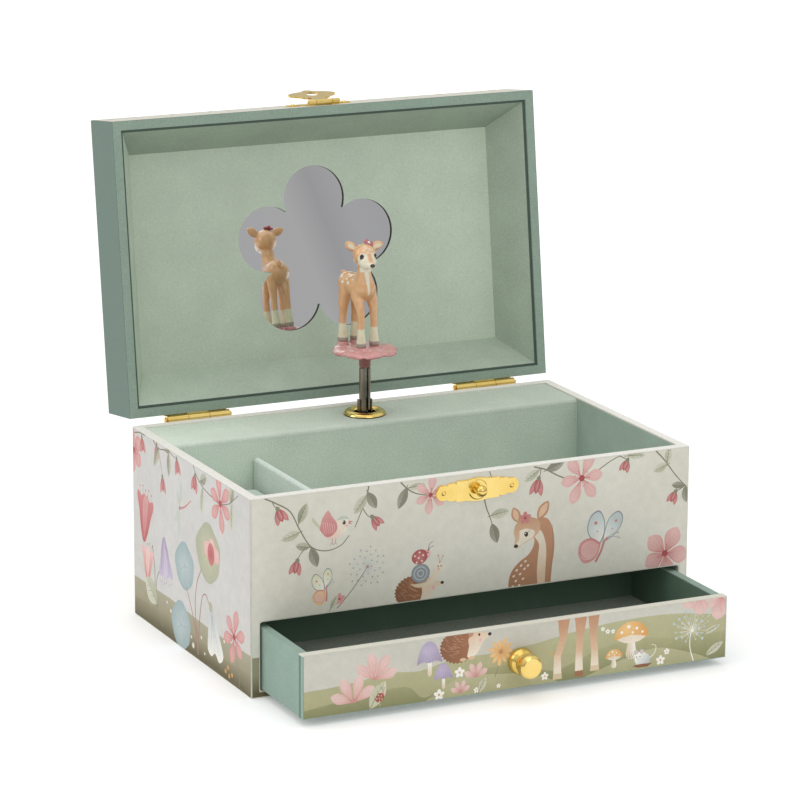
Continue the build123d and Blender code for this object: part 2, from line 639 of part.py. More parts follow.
stand_z = (97.5, 99.8, 102.0)
with BuildPart() as flower_stand:
    rod((0, spindle_y, sleeve_ends[1] + 0.3), (0, spindle_y, stand_z[0] + 1), 2.3)
    for low, high, start, reach, petal in ((0, 1, 18.0, 8.0, 5.3), (1, 2, 54.0, 7.4, 4.9)):
        with BuildSketch(Plane(origin=(0, spindle_y, stand_z[low]))):
            Circle(7.0)
            with PolarLocations(reach, 5, start_angle=start):
                Circle(petal)
        extrude(amount=stand_z[high] - stand_z[low])
    rod((0, spindle_y, 90), (0, spindle_y, stem_ends[1]), stem_radius, mode=Mode.SUBTRACT)
pieces["flower_stand"] = flower_stand

fawn_feet = stand_z[2]
body_low, body_high = 120.0, 129.4
with BuildPart() as fawn:
    body_y, body_z = spindle_y + 4.6, (body_low + body_high) / 2
    girth = (body_high - body_low) / 2
    rod((0, body_y - 3.6, body_z), (0, body_y + 3.6, body_z), girth)
    for end in (-3.6, 3.6):
        ball((0, body_y + end, body_z), girth)
    for hip, foot in (
        ((-2.4, 1.0), (-2.4, -1.6)), ((2.4, 1.0), (2.9, -0.6)),
        ((-2.4, 8.6), (-3.4, 10.6)), ((2.4, 8.6), (2.6, 11.4)),
    ):
        rod((foot[0], spindle_y + foot[1], fawn_feet), (hip[0], spindle_y + hip[1], body_z), 1.3, 2.0)
    rod((0, spindle_y + 0.8, body_z + 1), (0, spindle_y - 1.2, 136.5), 3.4, 2.6)
    ball((0, spindle_y - 1.6, 137.6), 4.7)
    rod((0, spindle_y - 4.0, 136.4), (0, spindle_y - 8.4, 134.8), 3.2, 1.7)
    for hand in (-1, 1):
        rod((hand * 2.6, spindle_y - 1.0, 140.0), (hand * 7.2, spindle_y - 0.4, 142.8), 1.8, 0.9)
    rod((0, spindle_y + 11.6, body_z + 1.2), (0, spindle_y + 13.4, body_z + 3.4), 1.5, 0.7)
pieces["fawn"] = fawn

with BuildPart() as hair_flower:
    with BuildSketch(Plane(origin=(1.6, spindle_y - 1.6, 142.1))):
        with PolarLocations(1.1, 5):
            Circle(0.85)
    extrude(amount=0.9)
pieces["hair_flower"] = hair_flower

for label, piece in pieces.items():
    piece.part.label = label
    export_step(piece.part, f"parts/{label}.step")
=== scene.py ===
import math
import random

import bpy
import bmesh
import numpy as np
from mathutils import Matrix, Vector, noise
from mathutils.geometry import delaunay_2d_cdt


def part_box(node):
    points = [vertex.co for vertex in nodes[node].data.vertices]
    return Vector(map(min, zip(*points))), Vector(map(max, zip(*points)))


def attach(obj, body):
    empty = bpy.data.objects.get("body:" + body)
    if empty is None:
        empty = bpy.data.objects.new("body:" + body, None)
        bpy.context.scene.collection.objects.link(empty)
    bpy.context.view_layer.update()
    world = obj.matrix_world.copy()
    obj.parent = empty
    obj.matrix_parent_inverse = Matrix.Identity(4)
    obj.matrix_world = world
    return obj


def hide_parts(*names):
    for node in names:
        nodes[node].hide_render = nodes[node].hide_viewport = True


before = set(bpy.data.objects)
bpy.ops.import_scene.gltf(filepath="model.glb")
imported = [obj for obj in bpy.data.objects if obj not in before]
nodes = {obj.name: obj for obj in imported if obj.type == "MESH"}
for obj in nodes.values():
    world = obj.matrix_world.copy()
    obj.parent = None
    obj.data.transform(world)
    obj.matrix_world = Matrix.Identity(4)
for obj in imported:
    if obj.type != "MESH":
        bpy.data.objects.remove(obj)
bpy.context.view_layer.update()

MM = 0.001
OPEN_ANGLE = math.radians(97.5)
HINGE_Y, HINGE_Z = 59.1, 75.15
STEM_Y = 39.5
DRAWER_FACE_Y = -94.0


# ---------------------------------------------------------------- helpers


def linear(code):
    """A colour written as sRGB hex digits, as linear RGBA."""
    parts = [int(code[i:i + 2], 16) / 255 for i in (0, 2, 4)]
    return tuple(
        c / 12.92 if c <= 0.04045 else ((c + 0.055) / 1.055) ** 2.4 for c in parts
    ) + (1.0,)


def mix(a, b, t):
    """The colour t of the way from a to b, each a colour or the name of an ink."""
    a, b = (INKS[c] if isinstance(c, str) else c for c in (a, b))
    t = min(max(t, 0.0), 1.0)
    return tuple(x + (y - x) * t for x, y in zip(a, b))


def lid_open(x, y, z):
    """A point given with the lid shut, moved to where the open lid holds it."""
    c, s = math.cos(OPEN_ANGLE), math.sin(OPEN_ANGLE)
    dy, dz = y - HINGE_Y, z - HINGE_Z
    return (x, HINGE_Y + dy * c + dz * s, HINGE_Z - dy * s + dz * c)


def finish_mesh(name, mesh, body, slot, mat, smooth=True):
    obj = bpy.data.objects.new(name, mesh)
    bpy.context.scene.collection.objects.link(obj)
    mesh.materials.append(mat)
    for face in mesh.polygons:
        face.use_smooth = smooth
    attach(obj, body)
    return obj


def mesh_piece(name, verts, faces, body, slot, mat, smooth=True):
    """A piece from points in millimetres."""
    mesh = bpy.data.meshes.new(name)
    mesh.from_pydata([Vector(v) * MM for v in verts], [], faces)
    mesh.validate()
    mesh.update()
    return finish_mesh(name, mesh, body, slot, mat, smooth)


def apply_modifiers(obj):
    graph = bpy.context.evaluated_depsgraph_get()
    graph.update()
    baked = bpy.data.meshes.new_from_object(obj.evaluated_get(graph))
    obj.modifiers.clear()
    old = obj.data
    obj.data = baked
    bpy.data.meshes.remove(old)


# -------------------------------------------------------------- materials


class Shader:
    """A node material built up from a Principled shader."""

    def __init__(self, name, rough=0.5, metallic=0.0, **sockets):
        self.mat = bpy.data.materials.new(name)
        self.mat.use_nodes = True
        self.tree = self.mat.node_tree
        self.bsdf = self.tree.nodes["Principled BSDF"]
        self.bsdf.inputs["Roughness"].default_value = rough
        self.bsdf.inputs["Metallic"].default_value = metallic
        for key, value in sockets.items():
            self.bsdf.inputs[key.replace("_", " ")].default_value = value

    def node(self, kind, **settings):
        made = self.tree.nodes.new(kind)
        for key, value in settings.items():
            setattr(made, key, value)
        return made

    def link(self, out, into):
        self.tree.links.new(out, into)

    def plug(self, value, socket):
        """A number or colour is set on the socket, anything else is linked to it."""
        if isinstance(value, (int, float, tuple)):
            socket.default_value = value
        else:
            self.link(value, socket)

    def coords(self, stretch=(1, 1, 1)):
        place = self.node("ShaderNodeTexCoord")
        scale = self.node("ShaderNodeMapping")
        scale.inputs["Scale"].default_value = stretch
        self.link(place.outputs["Object"], scale.inputs["Vector"])
        return scale.outputs["Vector"]

    def noise(self, scale, detail=3.0, rough=0.5, stretch=(1, 1, 1)):
        made = self.node("ShaderNodeTexNoise")
        made.inputs["Scale"].default_value = scale
        made.inputs["Detail"].default_value = detail
        made.inputs["Roughness"].default_value = rough
        self.link(self.coords(stretch), made.inputs["Vector"])
        return made.outputs["Fac"]

    def ramp(self, value, stops):
        made = self.node("ShaderNodeValToRGB")
        ramp = made.color_ramp
        while len(ramp.elements) < len(stops):
            ramp.elements.new(0.5)
        for element, (at, colour) in zip(ramp.elements, stops):
            element.position = at
            element.color = colour
        self.link(value, made.inputs["Fac"])
        return made.outputs["Color"]

    def blend(self, factor, a, b, mode="MIX"):
        made = self.node("ShaderNodeMix", data_type="RGBA", blend_type=mode)
        for value, socket in ((factor, 0), (a, 6), (b, 7)):
            self.plug(value, made.inputs[socket])
        return made.outputs[2]

    def maths(self, operation, a, b=0.0):
        made = self.node("ShaderNodeMath", operation=operation)
        self.plug(a, made.inputs[0])
        self.plug(b, made.inputs[1])
        return made.outputs[0]

    def colour(self, out):
        self.plug(out, self.bsdf.inputs["Base Color"])
        return self

    def mottled(self, dark, light, scale, low=0.35, high=0.65, detail=4.0):
        self.colour(self.ramp(self.noise(scale, detail), [(low, dark), (high, light)]))
        return self

    def bump(self, heights, strength=0.3, depth=0.0002):
        total = None
        for h in heights:
            total = h if total is None else self.maths("ADD", total, h)
        made = self.node("ShaderNodeBump")
        made.inputs["Strength"].default_value = strength
        made.inputs["Distance"].default_value = depth
        self.link(total, made.inputs["Height"])
        self.link(made.outputs["Normal"], self.bsdf.inputs["Normal"])
        return self

    def rough_range(self, scale, low, high, stretch=(1, 1, 1)):
        spread = self.node("ShaderNodeMapRange")
        spread.inputs["To Min"].default_value = low
        spread.inputs["To Max"].default_value = high
        self.link(self.noise(scale, 3.0, 0.5, stretch), spread.inputs["Value"])
        self.link(spread.outputs["Result"], self.bsdf.inputs["Roughness"])
        return self

    def position(self):
        place = self.node("ShaderNodeTexCoord")
        split = self.node("ShaderNodeSeparateXYZ")
        self.link(place.outputs["Object"], split.inputs[0])
        return split.outputs

    def weave(self, pitch, amount=0.5):
        """Two crossing thread waves, in metres of pitch, for linen-finish paper."""
        total = None
        for axis in "XYZ":
            made = self.node("ShaderNodeTexWave", wave_type="BANDS", bands_direction=axis)
            made.inputs["Scale"].default_value = 0.314 / pitch
            made.inputs["Distortion"].default_value = 2.5
            made.inputs["Detail"].default_value = 1.0
            made.inputs["Detail Scale"].default_value = 1.5
            self.link(self.coords(), made.inputs["Vector"])
            part = self.maths("MULTIPLY", made.outputs["Fac"], amount)
            total = part if total is None else self.maths("ADD", total, part)
        return total


def grey(v):
    return (v, v, v, 1)


def cloud(s, dark, light, scale=70):
    return s.ramp(s.noise(scale, 3), [(0.3, dark), (0.7, light)])


def linen(s, colour, dark=0.93, light=1.04, strength=0.3, depth=0.0001):
    """Gives a shader's paper its fine tooth in height, and returns its colour with that in tone."""
    tooth = s.ramp(s.noise(1500, 2, 0.6), [(0.35, grey(dark)), (0.68, grey(light))])
    s.bump([s.noise(2200, 2, 0.6), s.weave(0.0007, 0.12)], strength, depth)
    return s.blend(1.0, colour, tooth, "MULTIPLY")


def board(name, dark, light, rough=0.75, painted_light_along_x=None, below=None, sides=None, painted_shadow_depth=None):
    """Paper-covered board with a fine linen tooth and faint clouding.

    The paper may be painted lighter or darker along x as painted light, change below a height,
    or change on the outer side faces.
    A lid lining is painted dark up to a depth over the hinge line with the lid shut, as a painted
    shadow line along its edge beside the rail.
    """
    s = Shader(name, rough, Specular_IOR_Level=0.35)
    paper = cloud(s, dark, light)
    # painted light: the paper is lighter or darker along x, as the light falls
    if painted_light_along_x:
        along = s.maths("MULTIPLY", s.maths("ADD", s.position()[0], 0.09), 5.5)
        steps = s.ramp(along, [(k / 4, grey(v)) for k, v in enumerate(painted_light_along_x)])
        paper = s.blend(1.0, paper, steps, "MULTIPLY")
    if below:
        low, high, gain = below
        rise = s.maths("DIVIDE", s.maths("SUBTRACT", s.position()[2], low), high - low)
        steps = s.ramp(rise, [(0.0, grey(gain)), (1.0, grey(1))])
        paper = s.blend(1.0, paper, steps, "MULTIPLY")
    if sides:
        skin = s.maths("GREATER_THAN", s.maths("ABSOLUTE", s.position()[0]), 0.0898)
        paper = s.blend(skin, paper, linear(sides))
    # painted shadow line: the lining's edge beside the rail is painted dark
    if painted_shadow_depth:
        back = s.maths("SUBTRACT", s.position()[1], HINGE_Y * MM)
        up = s.maths("SUBTRACT", s.position()[2], HINGE_Z * MM)
        depth = s.maths("ADD", s.maths("MULTIPLY", back, math.sin(OPEN_ANGLE)),
                        s.maths("MULTIPLY", up, math.cos(OPEN_ANGLE)))
        paper = s.blend(s.maths("LESS_THAN", depth, painted_shadow_depth), paper, linear("4F5E54"))
    s.colour(linen(s, paper, 0.9, 1.06, 0.35, 0.00012))
    return s.mat


def wrapped_wall(side):
    """A wall whose outer face and rim carry the pale wrap and whose inside is sage paper."""
    s = Shader(f"wall_wrap_{side}", 0.72, Specular_IOR_Level=0.35)
    x, y, z = s.position()
    outer = {
        "left": s.maths("LESS_THAN", x, -0.0885),
        "right": s.maths("GREATER_THAN", x, 0.0885),
        "front": s.maths("LESS_THAN", y, -0.0555),
        "back": s.maths("GREATER_THAN", y, 0.0555),
    }[side]
    mask = s.maths("MAXIMUM", outer, s.maths("GREATER_THAN", z, 0.0743))
    inside = cloud(s, *tone("ADBEB1"))
    outside = cloud(s, *CREAM, 60)
    outside = s.blend(s.maths("GREATER_THAN", z, 0.0747), outside, linear("F0EEE6"))
    s.colour(linen(s, s.blend(mask, inside, outside)))
    return s.mat


def tone(code, amount=0.06):
    """A darker and a lighter neighbour of a colour."""
    c = linear(code)
    dark = tuple(v * (1 - amount) for v in c[:3]) + (1.0,)
    light = tuple(min(v * (1 + amount), 1.0) for v in c[:3]) + (1.0,)
    return dark, light


SAGE_IN = tone("BBC8B6", 0.035)
CREAM = tone("D8D6C8", 0.03)


def drawer_board(name, reach):
    """Drawer boards: sage outside, a darker deep green inside as painted shade, split by where
    the outer skin starts.
    """
    s = Shader(name, 0.75, Specular_IOR_Level=0.35)
    x, y, z = s.position()
    if reach > 0:
        skin = s.maths("GREATER_THAN", s.maths("ABSOLUTE", x), reach)
    else:
        skin = s.maths("LESS_THAN", y, reach)
    skin = s.maths("MAXIMUM", skin, s.maths("GREATER_THAN", z, 0.0260))
    # painted shade: the inside paper is a darker green than the outside, for the drawer's shaded
    # inside
    inside, outside = cloud(s, *tone("6A8271")), cloud(s, *tone("93A99D"))
    if reach < 0:
        outside = s.blend(s.maths("GREATER_THAN", z, 0.0264), outside, CREAM[1])
    s.colour(linen(s, s.blend(skin, inside, outside)))
    return s.mat


# painted light: the lid linings are painted lighter towards the left, and carry a painted shadow
# line beside the rail
board_lid = board("lid_lining_paper", *tone("B4C2B1"), painted_light_along_x=(1.12, 1.03, 1.0, 0.97, 0.93),
                  painted_shadow_depth=0.0012)
# painted shade: the lid's front lining is a darker copy of the lining paper
board_shade = board("lid_lining_shaded_paper", *tone("93A190"), painted_shadow_depth=0.0012)
board_out = board("sage_board_paper", *tone("8FA394", 0.04), sides="72857B")
board_in = board("sage_lining_paper", *SAGE_IN)
board_mint = board("mint_divider_paper", *tone("DCE6DD", 0.04))
# painted light: the deck paper is painted lighter towards the left
board_deck = board("sage_deck_paper", *tone("CAD5C7", 0.04), painted_light_along_x=(1.2, 1.1, 1.0, 0.97, 0.92),
                   below=(0.0722, 0.0735, 1.16))
drawer_in = board("drawer_board_paper", *tone("8FA497"))


def cloth(name, dark, light, rough=0.95, sheen=0.5, soft=0.5, scale=900, pile=(3500, 0.8, 0.0004)):
    """Felt or velvet: a soft sheen over a fine pile."""
    s = Shader(name, rough, Sheen_Weight=sheen, Sheen_Roughness=soft)
    s.mottled(linear(dark), linear(light), scale, 0.3, 0.7, 5)
    fine, strength, depth = pile
    s.bump([s.noise(fine, 4, 0.7)], strength, depth)
    return s.mat


felt_dark = cloth("drawer_felt", "8B9684", "A3AD9A")
felt_pale = cloth("tray_felt", "A9BBAC", "BDCCBE", sheen=0.4)
velvet = cloth("velvet_cushion", "C2D3C8", "D4E1D8", 0.9, 0.6, 0.4, 500, (2600, 0.6, 0.0003))

s = Shader("mirror_glass", 0.03, 1.0)
x, y, z = s.position()
# painted reflection: soft diagonal bands of lighter and darker tint across the mirror
reflection_band_slant = s.maths("ADD", s.maths("MULTIPLY", x, 6.0), s.maths("MULTIPLY", z, 2.2))
s.colour(s.ramp(s.maths("ADD", reflection_band_slant, 0.2),
                [(at, (v, v, blue, 1)) for at, v, blue in (
                    (0.3, 0.98, 0.99), (0.46, 1.0, 1.0), (0.54, 0.83, 0.84), (0.62, 0.94, 0.95),
                    (0.8, 0.86, 0.87))]))
mirror_mat = s.mat


def metal(name, dark, light, low, high, scratch=1400, painted_shade_below=None):
    """Scratched metal, near black below an optional height as painted shade in the deck's hole."""
    s = Shader(name, low, 1.0)
    tint = s.ramp(s.noise(90, 2), [(0.25, linear(dark)), (0.75, linear(light))])
    # painted shade: near black below the height, where the part sits down in the hole in the deck
    if painted_shade_below:
        tint = s.blend(s.maths("LESS_THAN", s.position()[2], painted_shade_below), tint, linear("0E0C0A"))
    s.colour(tint)
    s.rough_range(scratch, low, high, (1, 1, 0.2))
    s.bump([s.noise(scratch, 1, 0.4, (1, 1, 0.25))], 0.02, 0.00003)
    return s.mat


brass = metal("polished_brass", "E6C469", "F3D98C", 0.14, 0.24)
brass_dull = metal("movement_brass", "C9A558", "DBBE7A", 0.25, 0.4)
brass_eyelet = metal("eyelet_brass", "E6C469", "F3D98C", 0.14, 0.24, painted_shade_below=0.0749)
steel = metal("bright_steel", "9A978F", "C3C1BA", 0.18, 0.35)
steel_dark = metal("post_steel", "7C7066", "A4988C", 0.22, 0.4)
steel_yoke = metal("yoke_steel", "6C625A", "8E837A", 0.3, 0.5, painted_shade_below=0.0755)
steel_comb = metal("comb_steel", "8E9092", "B5B7B9", 0.25, 0.4, 900)

s = Shader("governor_plastic", 0.4)
s.mottled(linear("D8D5CC"), linear("E8E6DE"), 300)
s.bump([s.noise(900, 2)], 0.1, 0.0001)
governor_mat = s.mat


def enamel(name, attribute, rough=0.2, coat=0.6):
    """Hand-painted resin: the paint is a vertex colour, with brushy clouding and a gloss coat."""
    s = Shader(name, rough, Specular_IOR_Level=0.5, Coat_Weight=coat, Coat_Roughness=0.06)
    ink = s.node("ShaderNodeVertexColor", layer_name=attribute)
    wash = s.ramp(s.noise(420, 4, 0.6), [(0.3, grey(0.9)), (0.7, grey(1.05))])
    s.colour(s.blend(1.0, ink.outputs["Color"], wash, "MULTIPLY"))
    s.bump([s.noise(500, 3, 0.5)], 0.12, 0.0002)
    return s.mat


painted_resin = enamel("painted_resin", "paint")

s = Shader("printed_paper", 0.62, Specular_IOR_Level=0.4)
ink = s.node("ShaderNodeVertexColor", layer_name="ink")
wash = s.ramp(s.noise(260, 5, 0.65), [(0.25, grey(0.93)), (0.75, grey(1.05))])
grain = s.ramp(s.noise(2400, 2, 0.6), [(0.3, grey(0.96)), (0.7, grey(1.03))])
s.colour(s.blend(1.0, s.blend(1.0, ink.outputs["Color"], wash, "MULTIPLY"), grain, "MULTIPLY"))
s.bump([s.noise(2200, 2, 0.6), s.weave(0.0007, 0.1)], 0.25, 0.0001)
printed = s.mat

s = Shader("mirror_panel_paper", 0.75, Specular_IOR_Level=0.35)
geo = s.node("ShaderNodeNewGeometry")
split = s.node("ShaderNodeSeparateXYZ")
s.link(geo.outputs["Normal"], split.inputs[0])
flat_on = s.maths("GREATER_THAN", s.maths("ABSOLUTE", split.outputs[1]), 0.8)
# painted light: the panel paper is painted lighter towards +x
along = s.maths("MULTIPLY", s.maths("ADD", s.position()[0], 0.02), 12.0)
paper = s.blend(1.0, cloud(s, *SAGE_IN), s.ramp(along, [(0.0, grey(1)), (1.0, grey(1.14))]),
                "MULTIPLY")
paper = linen(s, paper, light=1.05, strength=0.35, depth=0.00012)
# The window's cut edges are near black: partly the raw board edge, partly painted shade in the
# recess.
s.colour(s.blend(flat_on, linear("2A241C"), paper))
panel_mat = s.mat


def dress(material, names):
    for n in names.split():
        mesh = nodes[n].data
        mesh.materials.clear()
        mesh.materials.append(material)
        for face in mesh.polygons:
            face.material_index = 0


def soften(width, names):
    for n in names.split():
        bevel = nodes[n].modifiers.new("soft_edge", "BEVEL")
        bevel.width = width * MM
        bevel.segments = 3
        bevel.limit_method = "ANGLE"
        bevel.angle_limit = math.radians(50)
        bevel.harden_normals = True


WALLS = "front_wall back_wall left_wall right_wall"
RAILS = "lid_rail_left lid_rail_right lid_rail_back lid_rail_front"
LININGS = "lid_lining_left lid_lining_right lid_lining_back"
DRAWER_BOARDS = "drawer_left drawer_right drawer_back"

for wall in WALLS.split():
    dress(wrapped_wall(wall.split("_")[0]), wall)
dress(board_out, RAILS + " lid_top bottom_board")
dress(board_lid, LININGS)
dress(board_shade, "lid_lining_front")
dress(board_deck, "mechanism_partition mechanism_deck")
dress(panel_mat, "mirror_panel")
dress(board_mint, "tray_divider")
dress(board_in, "tray_floor")
dress(drawer_board("drawer_side_paper", 0.0853), DRAWER_BOARDS)
dress(drawer_board("drawer_face_paper", -0.0922), "drawer_front")
dress(drawer_in, "drawer_floor")
dress(felt_pale, "tray_felt")
dress(felt_dark, "drawer_felt")
dress(velvet, "ring_cushion")
dress(mirror_mat, "flower_mirror")
dress(brass_eyelet, "spindle_eyelet")
dress(brass, "clasp_plate clasp_stud box_nails box_hinge_leaves hinge_pins hasp_plate hasp_pin "
             "lid_nails lid_hinge_leaves hasp_flap drawer_knob")
dress(steel_yoke, "post_yoke")
dress(steel, "movement_screws winding_arbor winding_key figure_stem cylinder_arbor "
             "movement_spindle knob_screw")
dress(steel_dark, "post_sleeve drive_spring")
dress(steel_comb, "comb governor_bracket bed_plate")
dress(brass_dull, "pin_cylinder spring_housing")
dress(governor_mat, "governor")

soften(0.45, f"{WALLS} {RAILS} {DRAWER_BOARDS} drawer_front lid_top")
soften(0.3, f"{LININGS} lid_lining_front bottom_board tray_floor")


# ------------------------------------------------------------ printed art


class Print:
    """A printed sheet. Flat areas are laid one over another, later ones on top,
    then cut together into one mesh that carries their colours."""

    def __init__(self, seed):
        self.points, self.loops, self.inks = [], [], []
        self.base_count = 0
        self.random = random.Random(seed)

    def area(self, outline, ink):
        first = len(self.points)
        self.points.extend(Vector((p[0], p[1])) for p in outline)
        self.loops.append(list(range(first, len(self.points))))
        self.inks.append(INKS[ink] if isinstance(ink, str) else ink)

    def ground(self, outline, ink):
        self.area(outline, ink)
        self.base_count = len(self.loops)

    def build(self, name, place, body, slot="outer_board"):
        edges = [(loop[k - 1], loop[k]) for loop in self.loops for k in range(len(loop))]
        verts, _, faces, *_ = delaunay_2d_cdt(self.points, edges, [], 0, 1e-5, True)
        flat = np.array([(v.x, v.y) for v in verts])
        middle = flat[np.array(faces)].mean(axis=1)
        tops = np.full(len(faces), -1)
        for index, loop in enumerate(self.loops):
            ring = np.array([self.points[k] for k in loop])
            (x0, y0), (x1, y1) = ring.min(axis=0), ring.max(axis=0)
            near = np.nonzero((middle[:, 0] > x0) & (middle[:, 0] < x1)
                              & (middle[:, 1] > y0) & (middle[:, 1] < y1))[0]
            if index >= self.base_count:
                near = near[tops[near] >= 0]
            x, y = middle[near, 0:1], middle[near, 1:2]
            nxt = np.roll(ring, -1, axis=0)
            rise = (ring[:, 1] <= y) & (nxt[:, 1] > y)
            fall = (ring[:, 1] > y) & (nxt[:, 1] <= y)
            along = nxt - ring
            side = along[:, 0] * (y - ring[:, 1]) - (x - ring[:, 0]) * along[:, 1]
            winding = (rise & (side > 0)).sum(axis=1) - (fall & (side < 0)).sum(axis=1)
            tops[near[winding != 0]] = index
        kept = np.nonzero(tops >= 0)[0]
        used = sorted({v for k in kept for v in faces[k]})
        number = {v: n for n, v in enumerate(used)}
        mesh = bpy.data.meshes.new(name)
        mesh.from_pydata([Vector(place(*flat[v])) * MM for v in used], [],
                         [[number[v] for v in faces[k]] for k in kept])
        colours = []
        for k in kept:
            ink = self.inks[tops[k]]
            for v in faces[k]:
                colours.extend(ink(*flat[v]) if callable(ink) else ink)
        layer = mesh.color_attributes.new("ink", "FLOAT_COLOR", "CORNER")
        layer.data.foreach_set("color", np.array(colours, np.float32))
        return finish_mesh(name, mesh, body, slot, printed, False)


def fade(a, b, start, end):
    """An ink that runs from one colour to another between two points."""
    dx, dy = end[0] - start[0], end[1] - start[1]
    span = dx * dx + dy * dy

    def ink(x, y):
        return mix(a, b, ((x - start[0]) * dx + (y - start[1]) * dy) / span)

    return ink


def halo(a, b, centre, radius):
    """An ink that runs from its centre colour to its rim colour."""

    def ink(x, y):
        return mix(a, b, math.hypot(x - centre[0], y - centre[1]) / radius)

    return ink


def spin(points, angle, centre=(0, 0), scale=1.0):
    c, s = math.cos(angle) * scale, math.sin(angle) * scale
    return [(centre[0] + x * c - y * s, centre[1] + x * s + y * c) for x, y in points]


def rect(x0, y0, x1, y1):
    return [(x0, y0), (x1, y0), (x1, y1), (x0, y1)]


def smooth_line(points, steps=6):
    """A curve through the points."""
    out = []
    pts = [points[0]] + list(points) + [points[-1]]
    for i in range(1, len(pts) - 2):
        p0, p1, p2, p3 = (Vector(q) for q in pts[i - 1:i + 3])
        for k in range(steps):
            t = k / steps
            out.append(tuple(0.5 * (2 * p1 + (p2 - p0) * t + (2 * p0 - 5 * p1 + 4 * p2 - p3) * t * t
                                    + (3 * p1 - p0 - 3 * p2 + p3) * t ** 3)))
    out.append(tuple(points[-1]))
    return out


def stroke(sheet, points, width, ink, end=None, steps=6):
    """A brush line that may thin towards its end."""
    end = width if end is None else end
    line = smooth_line(points, steps) if len(points) > 2 else [tuple(p) for p in points]
    left, right = [], []
    for i, p in enumerate(line):
        a, b = line[max(i - 1, 0)], line[min(i + 1, len(line) - 1)]
        d = Vector((b[0] - a[0], b[1] - a[1]))
        if d.length < 1e-6:
            continue
        d.normalize()
        half = (width + (end - width) * i / (len(line) - 1)) / 2
        left.append((p[0] - d.y * half, p[1] + d.x * half))
        right.append((p[0] + d.y * half, p[1] - d.x * half))
    sheet.area(left + right[::-1], ink)


def oval(cx, cy, rx, ry, angle=0.0, count=20):
    return spin([(rx * math.cos(t * math.tau / count), ry * math.sin(t * math.tau / count))
                 for t in range(count)], angle, (cx, cy))


def dot(sheet, x, y, r, ink, count=10):
    sheet.area(oval(x, y, r, r, 0, count), ink)


def blade(length, width, belly=0.5, count=9):
    """The outline of a leaf or petal along +x, its widest place at belly of its length."""
    up = []
    for i in range(count + 1):
        t = i / count
        h = math.sin(math.pi * t ** (math.log(0.5) / math.log(belly)))
        up.append((length * t, width / 2 * h ** 0.8 if h > 0 else 0.0))
    return up, [(x, -y) for x, y in up[1:-1]][::-1]


INKS = {k: linear(v) for k, v in {
    "leaf": "B0B299", "leaf_dark": "8A8977", "leaf_light": "C6C7B0", "stem": "827C68",
    "pink": "D9A09C", "pink_light": "E6BDB6", "pink_pale": "E3C6BD", "pink_deep": "CB8482",
    "rose": "B9605F", "berry": "A9504F",
    "tan": "BF9070", "tan_deep": "A06F50", "tan_light": "DDBB9B",
    "cream": "EADFCC", "white": "F3F1E8", "grey": "8E9599", "grey_light": "B9C0C2",
    "violet": "A497B2", "violet_light": "C3B8CC", "blue": "9FB1B3", "blue_light": "BECAC9",
    "orange": "DCA35C", "orange_light": "EDC587", "hill": "ACAA82", "hill_dark": "87885F",
    "hill_light": "B9B791", "band": "9F987C", "band_dark": "665F42", "black": "3A332D",
    "olive": "C6C5A6", "brown": "8C5F45", "sand": "D9C5A5", "wing": "DCDDBC",
}.items()}


def leaf(sheet, x, y, angle, length=7.5, width=3.4, dark="leaf_dark", light="leaf"):
    angle = math.radians(angle)
    up, down = blade(length, width)
    root, tip = (x, y), (x + length * math.cos(angle), y + length * math.sin(angle))
    sheet.area(spin(up, angle, root), fade(dark, light, root, tip))
    sheet.area(spin([up[-1]] + down + [up[0]], angle, root),
               fade(light, mix(light, "white", 0.25), root, tip))
    stroke(sheet, spin([(-1.0, 0), (length * 0.45, 0.12), (length * 0.92, 0)], angle, root),
           0.28, "stem", 0.08, 3)
    for k in (0.3, 0.5, 0.7):
        for side in (1, -1):
            stroke(sheet, spin([(length * k, 0), (length * (k + 0.16), side * width * 0.27)],
                               angle, root), 0.14, "stem", 0.05)


PALE = "leaf", "leaf_light"
DARK = "leaf_dark", "leaf_dark"
SILVER = "leaf_light", "olive"


class Brush:
    """Draws a motif in its own frame, which stands at x, y, scaled and turned by degrees.

    Widths of lines are in the sheet's millimetres, so a small motif can keep a line that prints.
    """

    def __init__(self, sheet, x, y, scale=1.0, turn=0.0):
        self.sheet, self.centre, self.scale = sheet, (x, y), scale
        self.turn = math.radians(turn)

    def put(self, points):
        return spin(points, self.turn, self.centre, self.scale)

    def at(self, x, y):
        return self.put([(x, y)])[0]

    def curve(self, points, steps=3):
        """A closed smooth outline through the points, in the sheet's frame."""
        return self.put(smooth_line(points + points[:1], steps)[:-1])

    def fade(self, a, b, start, end):
        return fade(a, b, self.at(*start), self.at(*end))

    def area(self, points, ink):
        self.sheet.area(self.put(points), ink)

    def shape(self, points, ink, steps=3):
        self.sheet.area(self.curve(points, steps), ink)

    def line(self, points, width, ink, end=None, steps=6):
        stroke(self.sheet, self.put(points), width, ink, end, steps)

    def oval(self, x, y, rx, ry, ink, angle=0.0, count=20):
        centre = self.at(x, y)
        self.sheet.area(oval(*centre, rx * self.scale, ry * self.scale, angle, count), ink)

    def dot(self, x, y, r, ink, count=10):
        self.oval(x, y, r, r, ink, 0.0, count)


